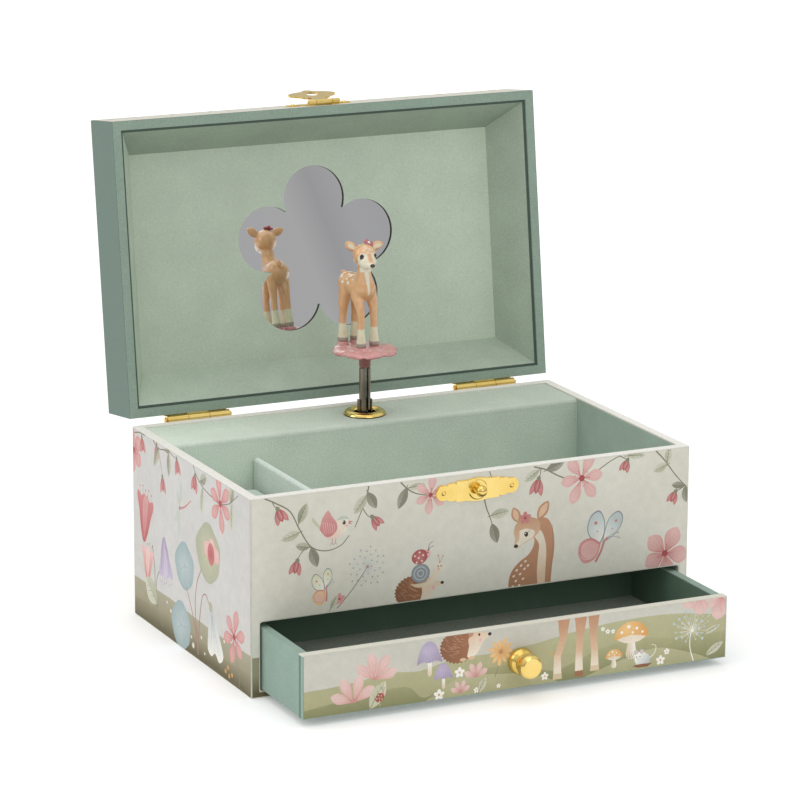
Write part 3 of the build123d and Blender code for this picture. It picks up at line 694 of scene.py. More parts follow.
def petal(sheet, x, y, angle, length, width, inner, outer, veins=True, belly=0.62):
    up, down = blade(length, width, belly)
    outline = up + down
    tip = (x + length * math.cos(angle), y + length * math.sin(angle))
    for shrink, lift in ((1.0, 0.0), (0.78, 0.12), (0.52, 0.2)):
        centre = [(px * shrink + length * (1 - shrink) * 0.45, py * shrink) for px, py in outline]
        sheet.area(spin(centre, angle, (x, y)),
                   fade(mix(inner, "white", lift * 0.5),
                        mix(outer, "white", lift), (x, y), tip))
    if veins:
        for spread in (-0.16, 0.0, 0.16):
            stroke(sheet, spin([(0, 0), (length * 0.4, length * spread * 0.5),
                                (length * 0.74, length * spread)], angle, (x, y)),
                   0.16, mix(inner, "rose", 0.35), 0.05, 3)


def flower(sheet, x, y, r, count=5, turn=90.0, inner="pink_deep", outer="pink"):
    width, belly = (r * 0.62, 0.62) if count == 5 else (r * 0.44, 0.66)
    for k in range(count):
        a = math.radians(turn) + k * math.tau / count
        length = r * (1.0 - 0.08 * ((k * 7) % 3))
        petal(sheet, x, y, a, length, width, inner, outer, belly=belly)
    for k in range(9):
        a = k * math.tau / 9
        stroke(sheet, [(x, y), (x + r * 0.28 * math.cos(a), y + r * 0.28 * math.sin(a))],
               0.18, "rose", 0.08)
        dot(sheet, x + r * 0.3 * math.cos(a), y + r * 0.3 * math.sin(a), 0.22, "rose", 6)
    dot(sheet, x, y, r * 0.12, "berry", 8)


def bud(sheet, x, y, angle, length=7.0, width=3.6):
    """A drooping bud of three overlapping petals, hanging along its angle."""
    a = math.radians(angle)
    length, width = length * 0.84, width * 0.82
    for off, ink_in, ink_out in ((0.34, "rose", "pink_deep"), (-0.34, "berry", "pink_deep"),
                                 (0.0, "berry", "rose")):
        petal(sheet, x, y, a + off, length * (1.0 if off else 0.86), width * 0.62, ink_in,
              ink_out, False, 0.55)
    stroke(sheet, spin([(length * 0.2, 0.1), (length * 0.72, 0.15)], a, (x, y)), 0.16,
           "pink_light", 0.06)
    sheet.area(spin([(-0.8, 0.0), (0.2, 0.9), (1.5, 0.55), (1.2, 0.0), (1.5, -0.55), (0.2, -0.9)],
                    a, (x, y)), "leaf_dark")


def vine(sheet, points, width=0.42):
    stroke(sheet, points, width * 1.35, "stem", width * 0.8)


def seed_head(sheet, x, y, r, stem, seed=3):
    pick = random.Random(seed)
    stroke(sheet, stem, 0.4, "leaf_dark", 0.3)
    for k in range(34):
        a = k * 2.39996
        d = r * math.sqrt((k + 1.5) / 36)
        px, py = x + d * math.cos(a), y + d * math.sin(a)
        stroke(sheet, [(x, y), (px, py)], 0.10, "grey_light", 0.07)
        for j in range(3):
            b = a + (j - 1) * 0.9
            stroke(sheet, [(px, py), (px + 0.75 * math.cos(b), py + 0.75 * math.sin(b))],
                   0.12, "blue", 0.05)
        dot(sheet, px, py, 0.2 + 0.1 * pick.random(), "grey", 5)
    dot(sheet, x, y, 0.55, "tan", 8)


def bird(sheet, x, y, s=1.0):
    b = Brush(sheet, x, y, s)
    b.shape([(-9.5, 7), (-7.8, 4.5), (-6, 2.6), (-4, 1.2), (-5.2, 0.2), (-7.6, 2.4), (-9.8, 5.2)],
            fade("leaf_light", "olive", (x - 9, y + 6), (x - 4, y)))
    b.shape([(-5, 0.6), (-2.5, 3.4), (1.5, 4.4), (3.2, 5.2), (5.8, 5.2), (7.2, 3.6), (7.0, 1.8),
             (5.4, -0.8), (2.4, -3.4), (-1.2, -3.8), (-4.0, -2.2)],
            fade("pink_light", "cream", (x - 5, y - 3), (x + 3, y + 2)))
    b.shape([(1.2, 4.2), (3.4, 5.8), (6.0, 5.6), (7.3, 4.0), (5.6, 4.3), (3.4, 4.2)],
            fade("leaf_light", "blue_light", (x, y + 4), (x + 7, y + 5)))
    b.shape([(-6.4, 1.0), (-5.2, 5.6), (-2.6, 9.0), (-0.8, 6.4), (1.4, 3.2), (1.6, 0.2),
             (-0.6, -2.2), (-3.6, -2.4)],
            fade("pink", "pink_deep", (x - 2, y + 8), (x - 3, y - 2)), 4)
    for k in range(6):
        b.line([(-4.9 + k, 4.4 - 0.35 * k), (-4.6 + k, 1.6), (-4.0 + k * 0.85, -1.2)],
               0.22, "pink_light", 0.1, 3)
    b.area([(7.0, 3.5), (9.2, 2.9), (7.0, 2.4)], "pink_deep")
    b.area([(7.0, 2.6), (8.6, 2.0), (6.9, 2.0)], "rose")
    b.oval(4.9, 2.9, 0.75, 0.95, "black")
    b.dot(4.7, 3.2, 0.22, "white", 6)
    b.dot(6.0, 1.4, 0.7, "pink_light", 8)
    for k in (0.0, 1.5):
        b.line([(-0.4 + k, -3.6), (-0.7 + k, -5.4), (-1.6 + k, -6.4)], 0.28, "pink_deep", 0.15, 3)
        b.line([(-0.7 + k, -5.4), (0.3 + k, -6.4)], 0.24, "pink_deep", 0.12)


def butterfly(sheet, x, y, s=1.0, turn=0.0, low="pink", high="blue_light"):
    b = Brush(sheet, x, y, s, turn)
    hub = b.at(0, 3)
    for wing in ([(0.4, 1.0), (0.8, 5.6), (2.2, 10.6), (5.6, 13.2), (7.9, 11.2), (7.4, 7.2),
                  (4.4, 3.4)],
                 [(-0.5, 0.6), (-4.5, 2.6), (-6.6, 6.4), (-5.6, 11.4), (-2.2, 13.4), (0.4, 9.6),
                  (0.9, 4.6)]):
        rim = b.curve(wing, 4)
        sheet.area(rim, "grey")
        mid = [sum(p[axis] for p in rim) / len(rim) for axis in (0, 1)]
        inner = [(mid[0] + (px - mid[0]) * 0.9, mid[1] + (py - mid[1]) * 0.9) for px, py in rim]
        sheet.area(inner, halo("white", high, hub, 9 * s))
    for wing, near, far in (([(-0.2, 1.0), (-4.4, 3.0), (-8.6, 1.2), (-9.2, -3.0), (-6.6, -6.6),
                              (-3.0, -5.8), (-1.0, -3.2)], "pink_deep", low),
                            ([(-0.8, 0.4), (-4.4, 2.0), (-7.6, 0.6), (-8.0, -2.8), (-6.2, -5.4),
                              (-3.2, -4.8), (-1.4, -2.8)], low, "pink_light")):
        rim = b.curve(wing, 4)
        sheet.area(rim, fade(near, far, hub, rim[len(rim) // 2]))
    for px, py, r in ((-3.2, 8.6, 0.7), (5.2, 9.4, 0.55), (-2.2, 5.4, 0.35), (4.0, 6.4, 0.3)):
        b.dot(px, py, r, "pink_deep", 8)
    for k in range(5):
        b.dot(-8.6 + 0.9 * k, -2.8 - 0.7 * k, 0.22, "rose", 6)
    b.line([(-1.6, -6.2), (0.2, -2.2), (1.2, 1.6), (2.4, 3.2)], 1.0 * s, "pink_deep", 0.7 * s)
    for px, py in ((6.6, 4.9), (7.2, 3.0)):
        b.line([(2.2, 3.0), ((2.2 + px) / 2, (3.0 + py) / 2 + 0.5), (px, py)], 0.22 * s, "grey",
               0.14 * s, 3)
        b.dot(px, py, 0.3, "grey", 6)


def quills(sheet, centre, rx, ry, angle, rows, ink, seed, length=1.6, lean=0.5):
    pick = random.Random(seed)
    for k in range(rows):
        t = pick.random() * math.tau
        d = math.sqrt(pick.random()) * 0.9
        p = spin([(rx * d * math.cos(t), ry * d * math.sin(t))], angle, centre)[0]
        a = angle + math.pi - lean + (pick.random() - 0.5) * 0.7
        stroke(sheet, [p, (p[0] + length * math.cos(a), p[1] + length * math.sin(a))],
               0.22, ink, 0.05)


def hedgehog(sheet, x, y, s=1.0, seed=4, turn=0.0):
    b = Brush(sheet, x, y, s, turn)
    b.shape([(1.5, 5.2), (4.6, 6.4), (7.4, 6.3), (9.4, 4.6), (12.2, 3.8), (12.4, 2.9), (10.0, 1.6),
             (8.4, -0.6), (6.6, -3.0), (3.6, -4.4), (0.6, -3.6)],
            b.fade("tan_light", "cream", (3, 6), (5, -3)))
    spikes = []
    count = 44
    for k in range(count):
        t = math.radians(38) + math.radians(262) * k / (count - 1)
        r = 1.0 + (0.07 if k % 2 else -0.02)
        spikes.append((-0.6 + 7.4 * r * math.cos(t), 1.2 + 6.3 * r * math.sin(t)))
    spikes += [(2.6, -3.4), (3.6, 0.4), (3.4, 3.0)]
    b.area(spikes, b.fade("brown", "tan_deep", (-7, 2), (4, 3)))
    centre = b.at(-1.4, 1.2)
    quills(sheet, centre, 5.6 * s, 4.9 * s, b.turn, 46, "tan", seed, 2.0 * s)
    quills(sheet, centre, 5.6 * s, 4.9 * s, b.turn, 30, "brown", seed + 1, 1.8 * s)
    b.oval(12.3, 3.4, 0.75, 0.65, "black")
    b.oval(8.0, 4.0, 0.42, 0.55, "black")
    b.oval(4.6, 5.0, 1.0, 1.25, "tan", b.turn)
    b.dot(8.4, 1.9, 0.8, "pink_light", 8)
    for k in (0.8, 4.4):
        b.oval(k, -4.3, 1.3, 0.65, "tan_light")


def ladybird(sheet, x, y, r=2.6, turn=0.0, ink="pink_deep"):
    b = Brush(sheet, x, y, r, turn)
    b.oval(0.95, 0.15, 0.46, 0.5, "pink_light")
    b.area([(math.cos(math.radians(t)), 0.85 * math.sin(math.radians(t)) + 0.1)
            for t in range(20, 350, 15)], halo(ink, "berry", (x, y), r * 1.1))
    for px, py in ((-0.55, 0.4), (0.1, 0.62), (-0.15, 0.02), (0.45, 0.15), (-0.5, -0.4),
                   (0.15, -0.45)):
        b.dot(px, py, 0.12, "cream", 7)
    for k in (0.35, -0.05):
        b.line([(1.1, 0.4), (1.5, 0.75 + k), (1.95, 0.8 + k * 1.4)], r * 0.07, "black", r * 0.05, 3)
    b.dot(1.05, 0.25, 0.09, "black", 6)


def snail(sheet, x, y, s=1.0):
    """A slim snail carrying a round slate-blue shell."""
    b = Brush(sheet, x, y, s)
    b.shape([(-6.0, -5.6), (-2.0, -5.9), (3.4, -5.2), (5.8, -1.6), (7.4, 2.2), (9.6, 3.6),
             (11.4, 2.2), (11.0, -0.2), (9.0, -3.4), (7.0, -6.6), (2.0, -8.0), (-3.0, -7.6)],
            b.fade("sand", "cream", (-5, -7), (9, 3)))
    for r, ink in ((5.0, "grey"), (3.7, "grey_light"), (3.1, "grey"), (1.9, "grey_light"),
                   (1.3, "grey")):
        b.oval(-0.4, -0.8, r, r * 0.96, halo(mix(ink, "white", 0.12), ink, b.at(-0.4, -0.8), r * s),
               0.0, 26)
    for px, py in ((9.0, 7.2), (11.6, 6.6)):
        b.line([(9.8, 3.0), ((9.8 + px) / 2 + 0.2, 5.0), (px, py)], 0.3 * s, "tan", 0.2 * s, 3)
        b.dot(px, py, 0.4, "tan", 7)
    for px in (9.0, 10.6):
        b.oval(px, 1.6, 0.3, 0.45, "black")
    b.dot(9.2, 0.2, 0.7, "pink_light", 8)


def toadstool(sheet, x, y, s=1.0):
    b = Brush(sheet, x, y, s)
    b.area([(-0.8, 4.4), (-1.1, 1.6), (-2.0, -3.4), (-1.2, -5.0), (1.0, -5.0), (1.8, -3.6),
            (1.0, 1.8), (1.1, 4.4)], b.fade("sand", "white", (-2, 0), (1.8, 0)))
    b.area([(-5.0, 1.6), (-2.6, 0.4), (0, 0.0), (2.8, 0.4), (5.0, 1.6), (2.0, 3.0), (-2.0, 3.0)],
           "cream")
    for k in range(-4, 5):
        b.line([(k * 1.1, 0.9 + 0.03 * k * k), (k * 0.55, 2.4)], 0.16, "tan_light", 0.08)
    rim = [math.radians(t) for t in range(176, 0, -11)]
    b.area([(-5.8, 1.4)] + [(6.0 * math.cos(t), 1.6 + 5.4 * math.sin(t)) for t in rim]
           + [(5.8, 1.4), (3.0, 2.3), (0, 2.6), (-3.0, 2.3)],
           halo("orange_light", "orange", b.at(-1.5, 5), 6.5 * s))
    for px, py, r in ((-3.4, 3.8, 0.5), (-1.0, 5.4, 0.6), (1.8, 4.6, 0.5), (3.8, 3.2, 0.4),
                      (0.4, 3.4, 0.4)):
        b.dot(px, py, r, "white", 8)


def bellcap(sheet, x, y, s=1.0):
    b = Brush(sheet, x, y, s)
    b.area([(-0.6, 0.6), (-0.5, -4.4), (0.2, -5.0), (1.0, -4.4), (0.9, 0.6)],
           b.fade("white", "sand", (0, 0), (0, -5)))
    b.shape([(-4.6, -0.6), (-3.8, 3.4), (-2.2, 6.4), (0.2, 7.4), (2.4, 6.0), (3.8, 2.8),
             (5.0, -0.4), (2.6, 0.5), (0.2, -0.2), (-2.2, 0.4)],
            halo("violet_light", "violet", b.at(-0.8, 4), 6 * s))
    for k in range(-3, 4):
        b.line([(k * 1.25, -0.1), (k * 0.85, 3.6)], 0.16, "violet", 0.06)


def little_flower(sheet, x, y, r=1.2, ink="white", heart="orange"):
    for k in range(5):
        a = k * math.tau / 5 + 0.3
        sheet.area(oval(x + r * 0.62 * math.cos(a), y + r * 0.62 * math.sin(a), r * 0.55, r * 0.4,
                        a, 8), ink)
    dot(sheet, x, y, r * 0.26, heart, 6)


def fan(sheet, x, y, r, turn=90.0, count=4, spread=38.0):
    """Half-open petals fanning up from one point."""
    for k in range(count):
        off = k - (count - 1) / 2
        petal(sheet, x, y, math.radians(turn + off * spread), r * (1 - 0.1 * abs(off)), r * 0.36,
              "pink", "pink_pale", True, 0.66)


def daisy(sheet, x, y, r=4.0):
    for k in range(11):
        a = k * math.tau / 11
        petal(sheet, x, y, a, r * (0.85 + 0.15 * (k % 3) / 2), r * 0.3, "orange", "orange_light",
              False)
    dot(sheet, x, y, r * 0.16, "tan", 8)


def mouse(sheet, x, y, s=1.0):
    b = Brush(sheet, x, y, s)
    b.line([(2.6, -0.4), (5.4, 1.6), (6.0, 4.6), (4.0, 5.4)], 0.34 * s, "white", 0.18 * s)
    b.shape([(-3.4, 1.6), (-1.8, 3.0), (0.6, 2.6), (2.8, 1.2), (3.4, -1.4), (1.4, -2.8),
             (-2.0, -2.6), (-3.6, -0.6)], b.fade("white", "grey_light", (-2, 2), (3, -2)))
    for px in (-3.0, -0.4):
        b.dot(px, 3.1, 1.0, "grey_light", 10)
        b.dot(px, 3.1, 0.6, "pink_light", 8)
    for px in (-2.7, -1.2):
        b.dot(px, 1.0, 0.27, "black", 6)
    b.dot(-2.1, 0.1, 0.24, "pink_deep", 6)
    b.area([(-4.6, -2.6), (-2.0, -3.6), (2.2, -3.6), (4.6, -2.4), (1.0, -2.2), (-2.0, -2.2)],
           "brown")


def deer(sheet, x, y, s=0.9):
    """A young deer looking back over its shoulder; x, y is the foot of its neck."""
    b = Brush(sheet, x, y, s)
    b.area(smooth_line([(-9.6, -12), (-9.4, -5.5), (-7.6, -1.2), (-4.4, 1.8), (-0.6, 4.2),
                        (1.8, 7.6), (2.0, 11.4), (-1.2, 14.2), (1.4, 18.0), (5.2, 19.6),
                        (8.8, 18.2), (11.0, 13.0), (11.6, 6.0), (10.6, -2.0), (9.8, -12)], 4),
           fade(mix("tan_deep", "tan", 0.35), "tan", (x - 9, y - 10), (x + 10, y + 8)))
    b.area(smooth_line([(4.2, -12), (3.6, -4.0), (4.0, 3.0), (4.4, 8.2), (2.2, 12.2), (4.2, 14.6),
                        (6.4, 12.0), (7.8, 6.0), (7.6, -2.0), (7.2, -12)], 4),
           fade("cream", "tan_light", (x + 5, y + 10), (x + 5, y - 11)))
    for base, tip, wide in (((-5.2, 18.6), (-7.8, 25.4), 2.1), ((3.6, 18.8), (8.6, 26.4), 2.4)):
        wide *= s
        d = Vector((tip[0] - base[0], tip[1] - base[1]))
        for start, reach, width, ink in ((0.0, 1.0, 2, "tan"), (0.1, 0.8, 1.2, "tan_light")):
            up, down = blade(d.length * reach * s, wide * width, 0.5)
            root = b.at(base[0] + d.x * start, base[1] + d.y * start)
            sheet.area(spin(up + down, math.atan2(d.y, d.x), root), ink)
    b.shape([(-6.8, 17.4), (-4.0, 20.2), (0.8, 20.2), (4.4, 18.2), (4.6, 14.0), (1.6, 11.2),
             (-2.6, 9.4), (-5.6, 7.6), (-7.0, 8.6), (-6.8, 12.0), (-7.4, 14.6)],
            fade("tan", "tan_light", (x - 3, y + 20), (x - 3, y + 10)), 4)
    b.shape([(-4.8, 15.0), (-1.6, 15.6), (2.2, 14.2), (1.4, 11.6), (-2.4, 9.8), (-5.4, 8.1),
             (-6.2, 9.4), (-4.8, 11.4)], "cream", 4)
    sheet.area(oval(x - 6.3 * s, y + 8.6 * s, 0.9, 0.7), "black")
    sheet.area(oval(x - 1.6 * s, y + 13.2 * s, 0.8, 1.0, 0.2), "black")
    dot(sheet, x - 1.9 * s, y + 13.6 * s, 0.24, "white", 6)
    b.line([(-0.8, 14.0), (0.2, 14.9)], 0.2, "black", 0.06)
    for px, py in ((-7.2, -4.2), (-5.8, -1.8), (-4.2, -3.6), (-6.2, -6.4), (-3.8, 0.0),
                   (-2.2, -1.6), (-4.6, -8.4), (-7.6, -8.6), (-1.8, 1.6), (-0.6, -0.4),
                   (-2.8, -5.8)):
        sheet.area(oval(x + px * s, y + py * s, 0.62, 0.42, 0.6, 8), "cream")
    little_flower(sheet, x - 2.2 * s, y + 20.2 * s, 2.2, "pink_deep", "berry")
    for k in range(26):
        t = k / 25
        px = 9.0 + 2.0 * math.sin(math.pi * (0.35 + 0.6 * (1 - t)))
        py = -11 + 26 * t
        b.line([(px, py), (px - 0.5, py + 1.1)], 0.16, "brown", 0.05)


def trumpet(sheet, x, y, angle, s=1.0, ink="rose", light="pink_deep"):
    """A wide bell of a flower on a narrow foot, its mouth scalloped, stamens showing."""
    b = Brush(sheet, x, y, s, angle)
    for k in (-2, -1, 0, 1, 2):
        p, q = b.at(9.0 + 0.8 * (k % 2), k * 2.5), b.at(4.0, k * 1.6)
        stroke(sheet, [q, p], 0.16, ink, 0.1)
        dot(sheet, p[0], p[1], 0.42, ink, 6)
    b.shape([(-9.0, -0.9), (-5.0, -3.0), (0.6, -4.9), (5.2, -7.2), (7.2, -6.0), (6.0, -3.4),
             (7.6, -1.2), (6.6, 0.2), (7.8, 1.6), (6.0, 3.4), (7.2, 6.2), (5.2, 7.2), (0.6, 5.2),
             (-5.0, 3.2), (-9.0, 0.9)], b.fade(ink, light, (-8, 0), (6, 0)))
    b.shape([(-8.4, 0.0), (-3.0, -1.6), (3.0, -2.3), (6.6, -1.0), (7.4, 0.6), (6.0, 2.4),
             (-3.0, 1.7)],
            b.fade(light, mix(light, "white", 0.2), (-8, 0), (7, 0)))
    for k in (-1.6, -0.8, 0.0, 0.8, 1.6):
        b.line([(-6.0, k * 0.9), (0.0, k * 2.2), (4.6, k * 3.3)], 0.18, mix(ink, "rose", 0.3),
               0.08, 3)


def round_leaf(sheet, x, y, r, ink, light):
    rim = [(x + r * (1 + 0.05 * math.sin(5 * t + 0.6)) * math.cos(t),
            y + r * (0.98 + 0.05 * math.cos(4 * t)) * math.sin(t))
           for t in [k * math.tau / 30 for k in range(30)]]
    sheet.area(rim, halo(light, ink, (x, y), r))
    for k in range(7):
        a = k * math.tau / 7 + 0.3
        near, far = r * 0.45, r * 0.86
        stroke(sheet, [(x, y), (x + near * math.cos(a + 0.08), y + near * math.sin(a + 0.08)),
                       (x + far * math.cos(a), y + far * math.sin(a))], 0.22,
               mix(ink, "black", 0.18), 0.07, 3)


def paper_ink(dark, light, seed):
    """The unprinted ground of a sheet."""
    def ink(x, y):
        return mix(dark, light, 0.5 + 0.6 * noise.noise(Vector((x * 0.03, y * 0.03, seed))))
    return ink


def draw_all(sheet, *marks):
    """Draws (motif, arguments) one over another."""
    for motif, *rest in marks:
        motif(sheet, *rest)


def hills(sheet, line_far, line_near, x0, x1, low, far="hill", near="hill_dark"):
    top = smooth_line(line_far, 5)
    sheet.area(top + [(x1, low), (x0, low)],
               fade("hill_light" if far == "hill" else far, far, (0, 24), (0, 6)))
    top = smooth_line(line_near, 5)
    sheet.area(top + [(x1, low), (x0, low)],
               fade(far, near, (0, 14), (0, low)))


ground_tone = linear("D5D3C4")
ground_light = linear("E4E2D6")


def front_sheet():
    sheet = Print(11)
    ink = paper_ink(ground_tone, ground_light, 0.3)
    edge, low, high = 89.6, 0.4, 74.6
    cut_x, cut_low, cut_high = 86.9, 2.1, 29.0
    sheet.ground(rect(-edge, cut_high, edge, high), ink)
    sheet.ground(rect(-edge, cut_low, -cut_x, cut_high), ink)
    sheet.ground(rect(cut_x, cut_low, edge, cut_high), ink)
    sheet.ground(rect(-edge, low, edge, cut_low), ink)
    sheet.area(rect(-edge, low, edge, 15.4), "band")
    sheet.area(rect(-edge, low, edge, 8.6),
               fade("band", "band_dark", (0, 9), (0, 3)))
    draw_all(
        sheet,
        (vine, [(-84.5, 74.6), (-80.2, 72.4), (-74.5, 68.6), (-70.8, 61.5), (-66.4, 54.6),
         (-60.5, 52.3), (-54.6, 53.6), (-51.2, 57.0)]),
        (vine, [(-81.6, 73.4), (-80.6, 71.2), (-79.2, 70.2)], 0.32),
        (bud, -79.6, 70.6, -68, 8.2, 4.6),
        (leaf, -71.2, 63.6, 66, 8.2, 3.6),
        (leaf, -70.6, 60.6, 197, 8.0, 3.6, *PALE),
        (vine, [(-66.6, 54.8), (-69.4, 53.4), (-71.6, 50.6)], 0.32),
        (leaf, -66.8, 54.4, 168, 5.8, 3.2),
        (leaf, -66.4, 54.2, -72, 8.0, 4.0, *DARK),
        (bud, -71.6, 50.4, -104, 7.6, 4.4),
        (bird, -57.4, 59.6, 0.86),
        (vine, [(-43.4, 74.6), (-44.0, 71.6), (-45.6, 67.2), (-48.8, 59.8)]),
        (leaf, -44.2, 71.4, 232, 8.4, 4.0, *PALE),
        (leaf, -43.8, 72.4, -62, 7.4, 3.8, *DARK),
        (vine, [(-45.8, 66.6), (-43.8, 63.6), (-41.6, 62.4)], 0.32),
        (bud, -42.2, 63.2, -52, 7.4, 4.0),
        (vine, [(-30.6, 74.6), (-27.6, 71.6), (-24.2, 69.6), (-19.4, 68.4)]),
        (leaf, -28.0, 72.4, 246, 8.6, 3.8, *DARK),
        (leaf, -27.6, 72.0, 4, 7.4, 2.6, *PALE),
        (flower, -18.4, 68.4, 7.6, 6, 82, "pink", "pink_light"),
        (vine, [(3.6, 64.2), (4.6, 60.4), (5.8, 57.6), (7.0, 54.0)]),
        (leaf, 6.0, 57.4, 8, 8.2, 3.8, *PALE),
        (leaf, 6.8, 54.6, -74, 8.2, 4.0, *DARK),
        (vine, [(5.6, 74.6), (6.2, 73.0), (6.8, 71.8)], 0.35),
        (vine, [(24.0, 74.2), (29.0, 72.6), (34.4, 69.6), (39.0, 67.8), (44.0, 67.6),
         (50.0, 69.4), (55.4, 72.4), (60.0, 74.4)]),
        (leaf, 26.4, 73.0, 212, 7.6, 3.4, *PALE),
        (leaf, 29.0, 72.2, 18, 8.2, 3.6, *DARK),
        (vine, [(27.0, 73.0), (26.6, 70.8), (26.0, 69.4)], 0.32),
        (bud, 26.2, 70.0, -102, 9.0, 4.8),
        (flower, 44.2, 67.6, 10.6, 6, 66, "pink", "pink_light"),
        (vine, [(60.0, 74.4), (62.0, 73.4), (63.4, 72.6)], 0.32),
        (bud, 63.6, 72.8, -112, 6.6, 4.2),
        (leaf, 63.0, 74.0, -4, 8.0, 2.6, *PALE),
        (vine, [(75.6, 74.6), (79.4, 70.6), (84.0, 64.6), (89.5, 58.6)]),
        (leaf, 80.6, 69.4, 82, 6.2, 3.2, *PALE),
        (leaf, 80.8, 69.0, 200, 6.6, 3.4, *PALE),
        (leaf, 88.2, 59.8, 172, 5.6, 2.8, *DARK),
        (leaf, 88.4, 59.4, -84, 6.4, 3.2, *DARK),
        (vine, [(88.2, 59.6), (86.0, 58.4), (84.4, 57.8)], 0.32),
        (bud, 84.6, 58.2, -116, 6.8, 4.2),
        (deer, 22.6, 36.8),
        (butterfly, 52.8, 40.4, 1.02, -6),
        (flower, 80.4, 34.0, 11.2, 5, 62, "pink_deep", "pink_light"),
        (seed_head, -43.8, 44.2, 7.8, [(-56.0, 30.0), (-51.4, 34.6), (-47.2, 39.6),
         (-43.8, 44.2)]),
        (butterfly, -60.6, 37.0, 0.6, 20, "orange_light", "wing"),
        (little_flower, -55.0, 33.4, 2.0, "pink", "rose"),
        (leaf, -58.6, 30.0, 60, 5.6, 2.4, *PALE),
        (hedgehog, -25.0, 31.2, 0.94, 4, 0),
        (snail, -22.0, 39.6, 0.76),
        (ladybird, -22.6, 45.0, 3.3, 14),
    )
    return sheet.build("front_print", lambda x, z: (x, -57.08, z), "box")


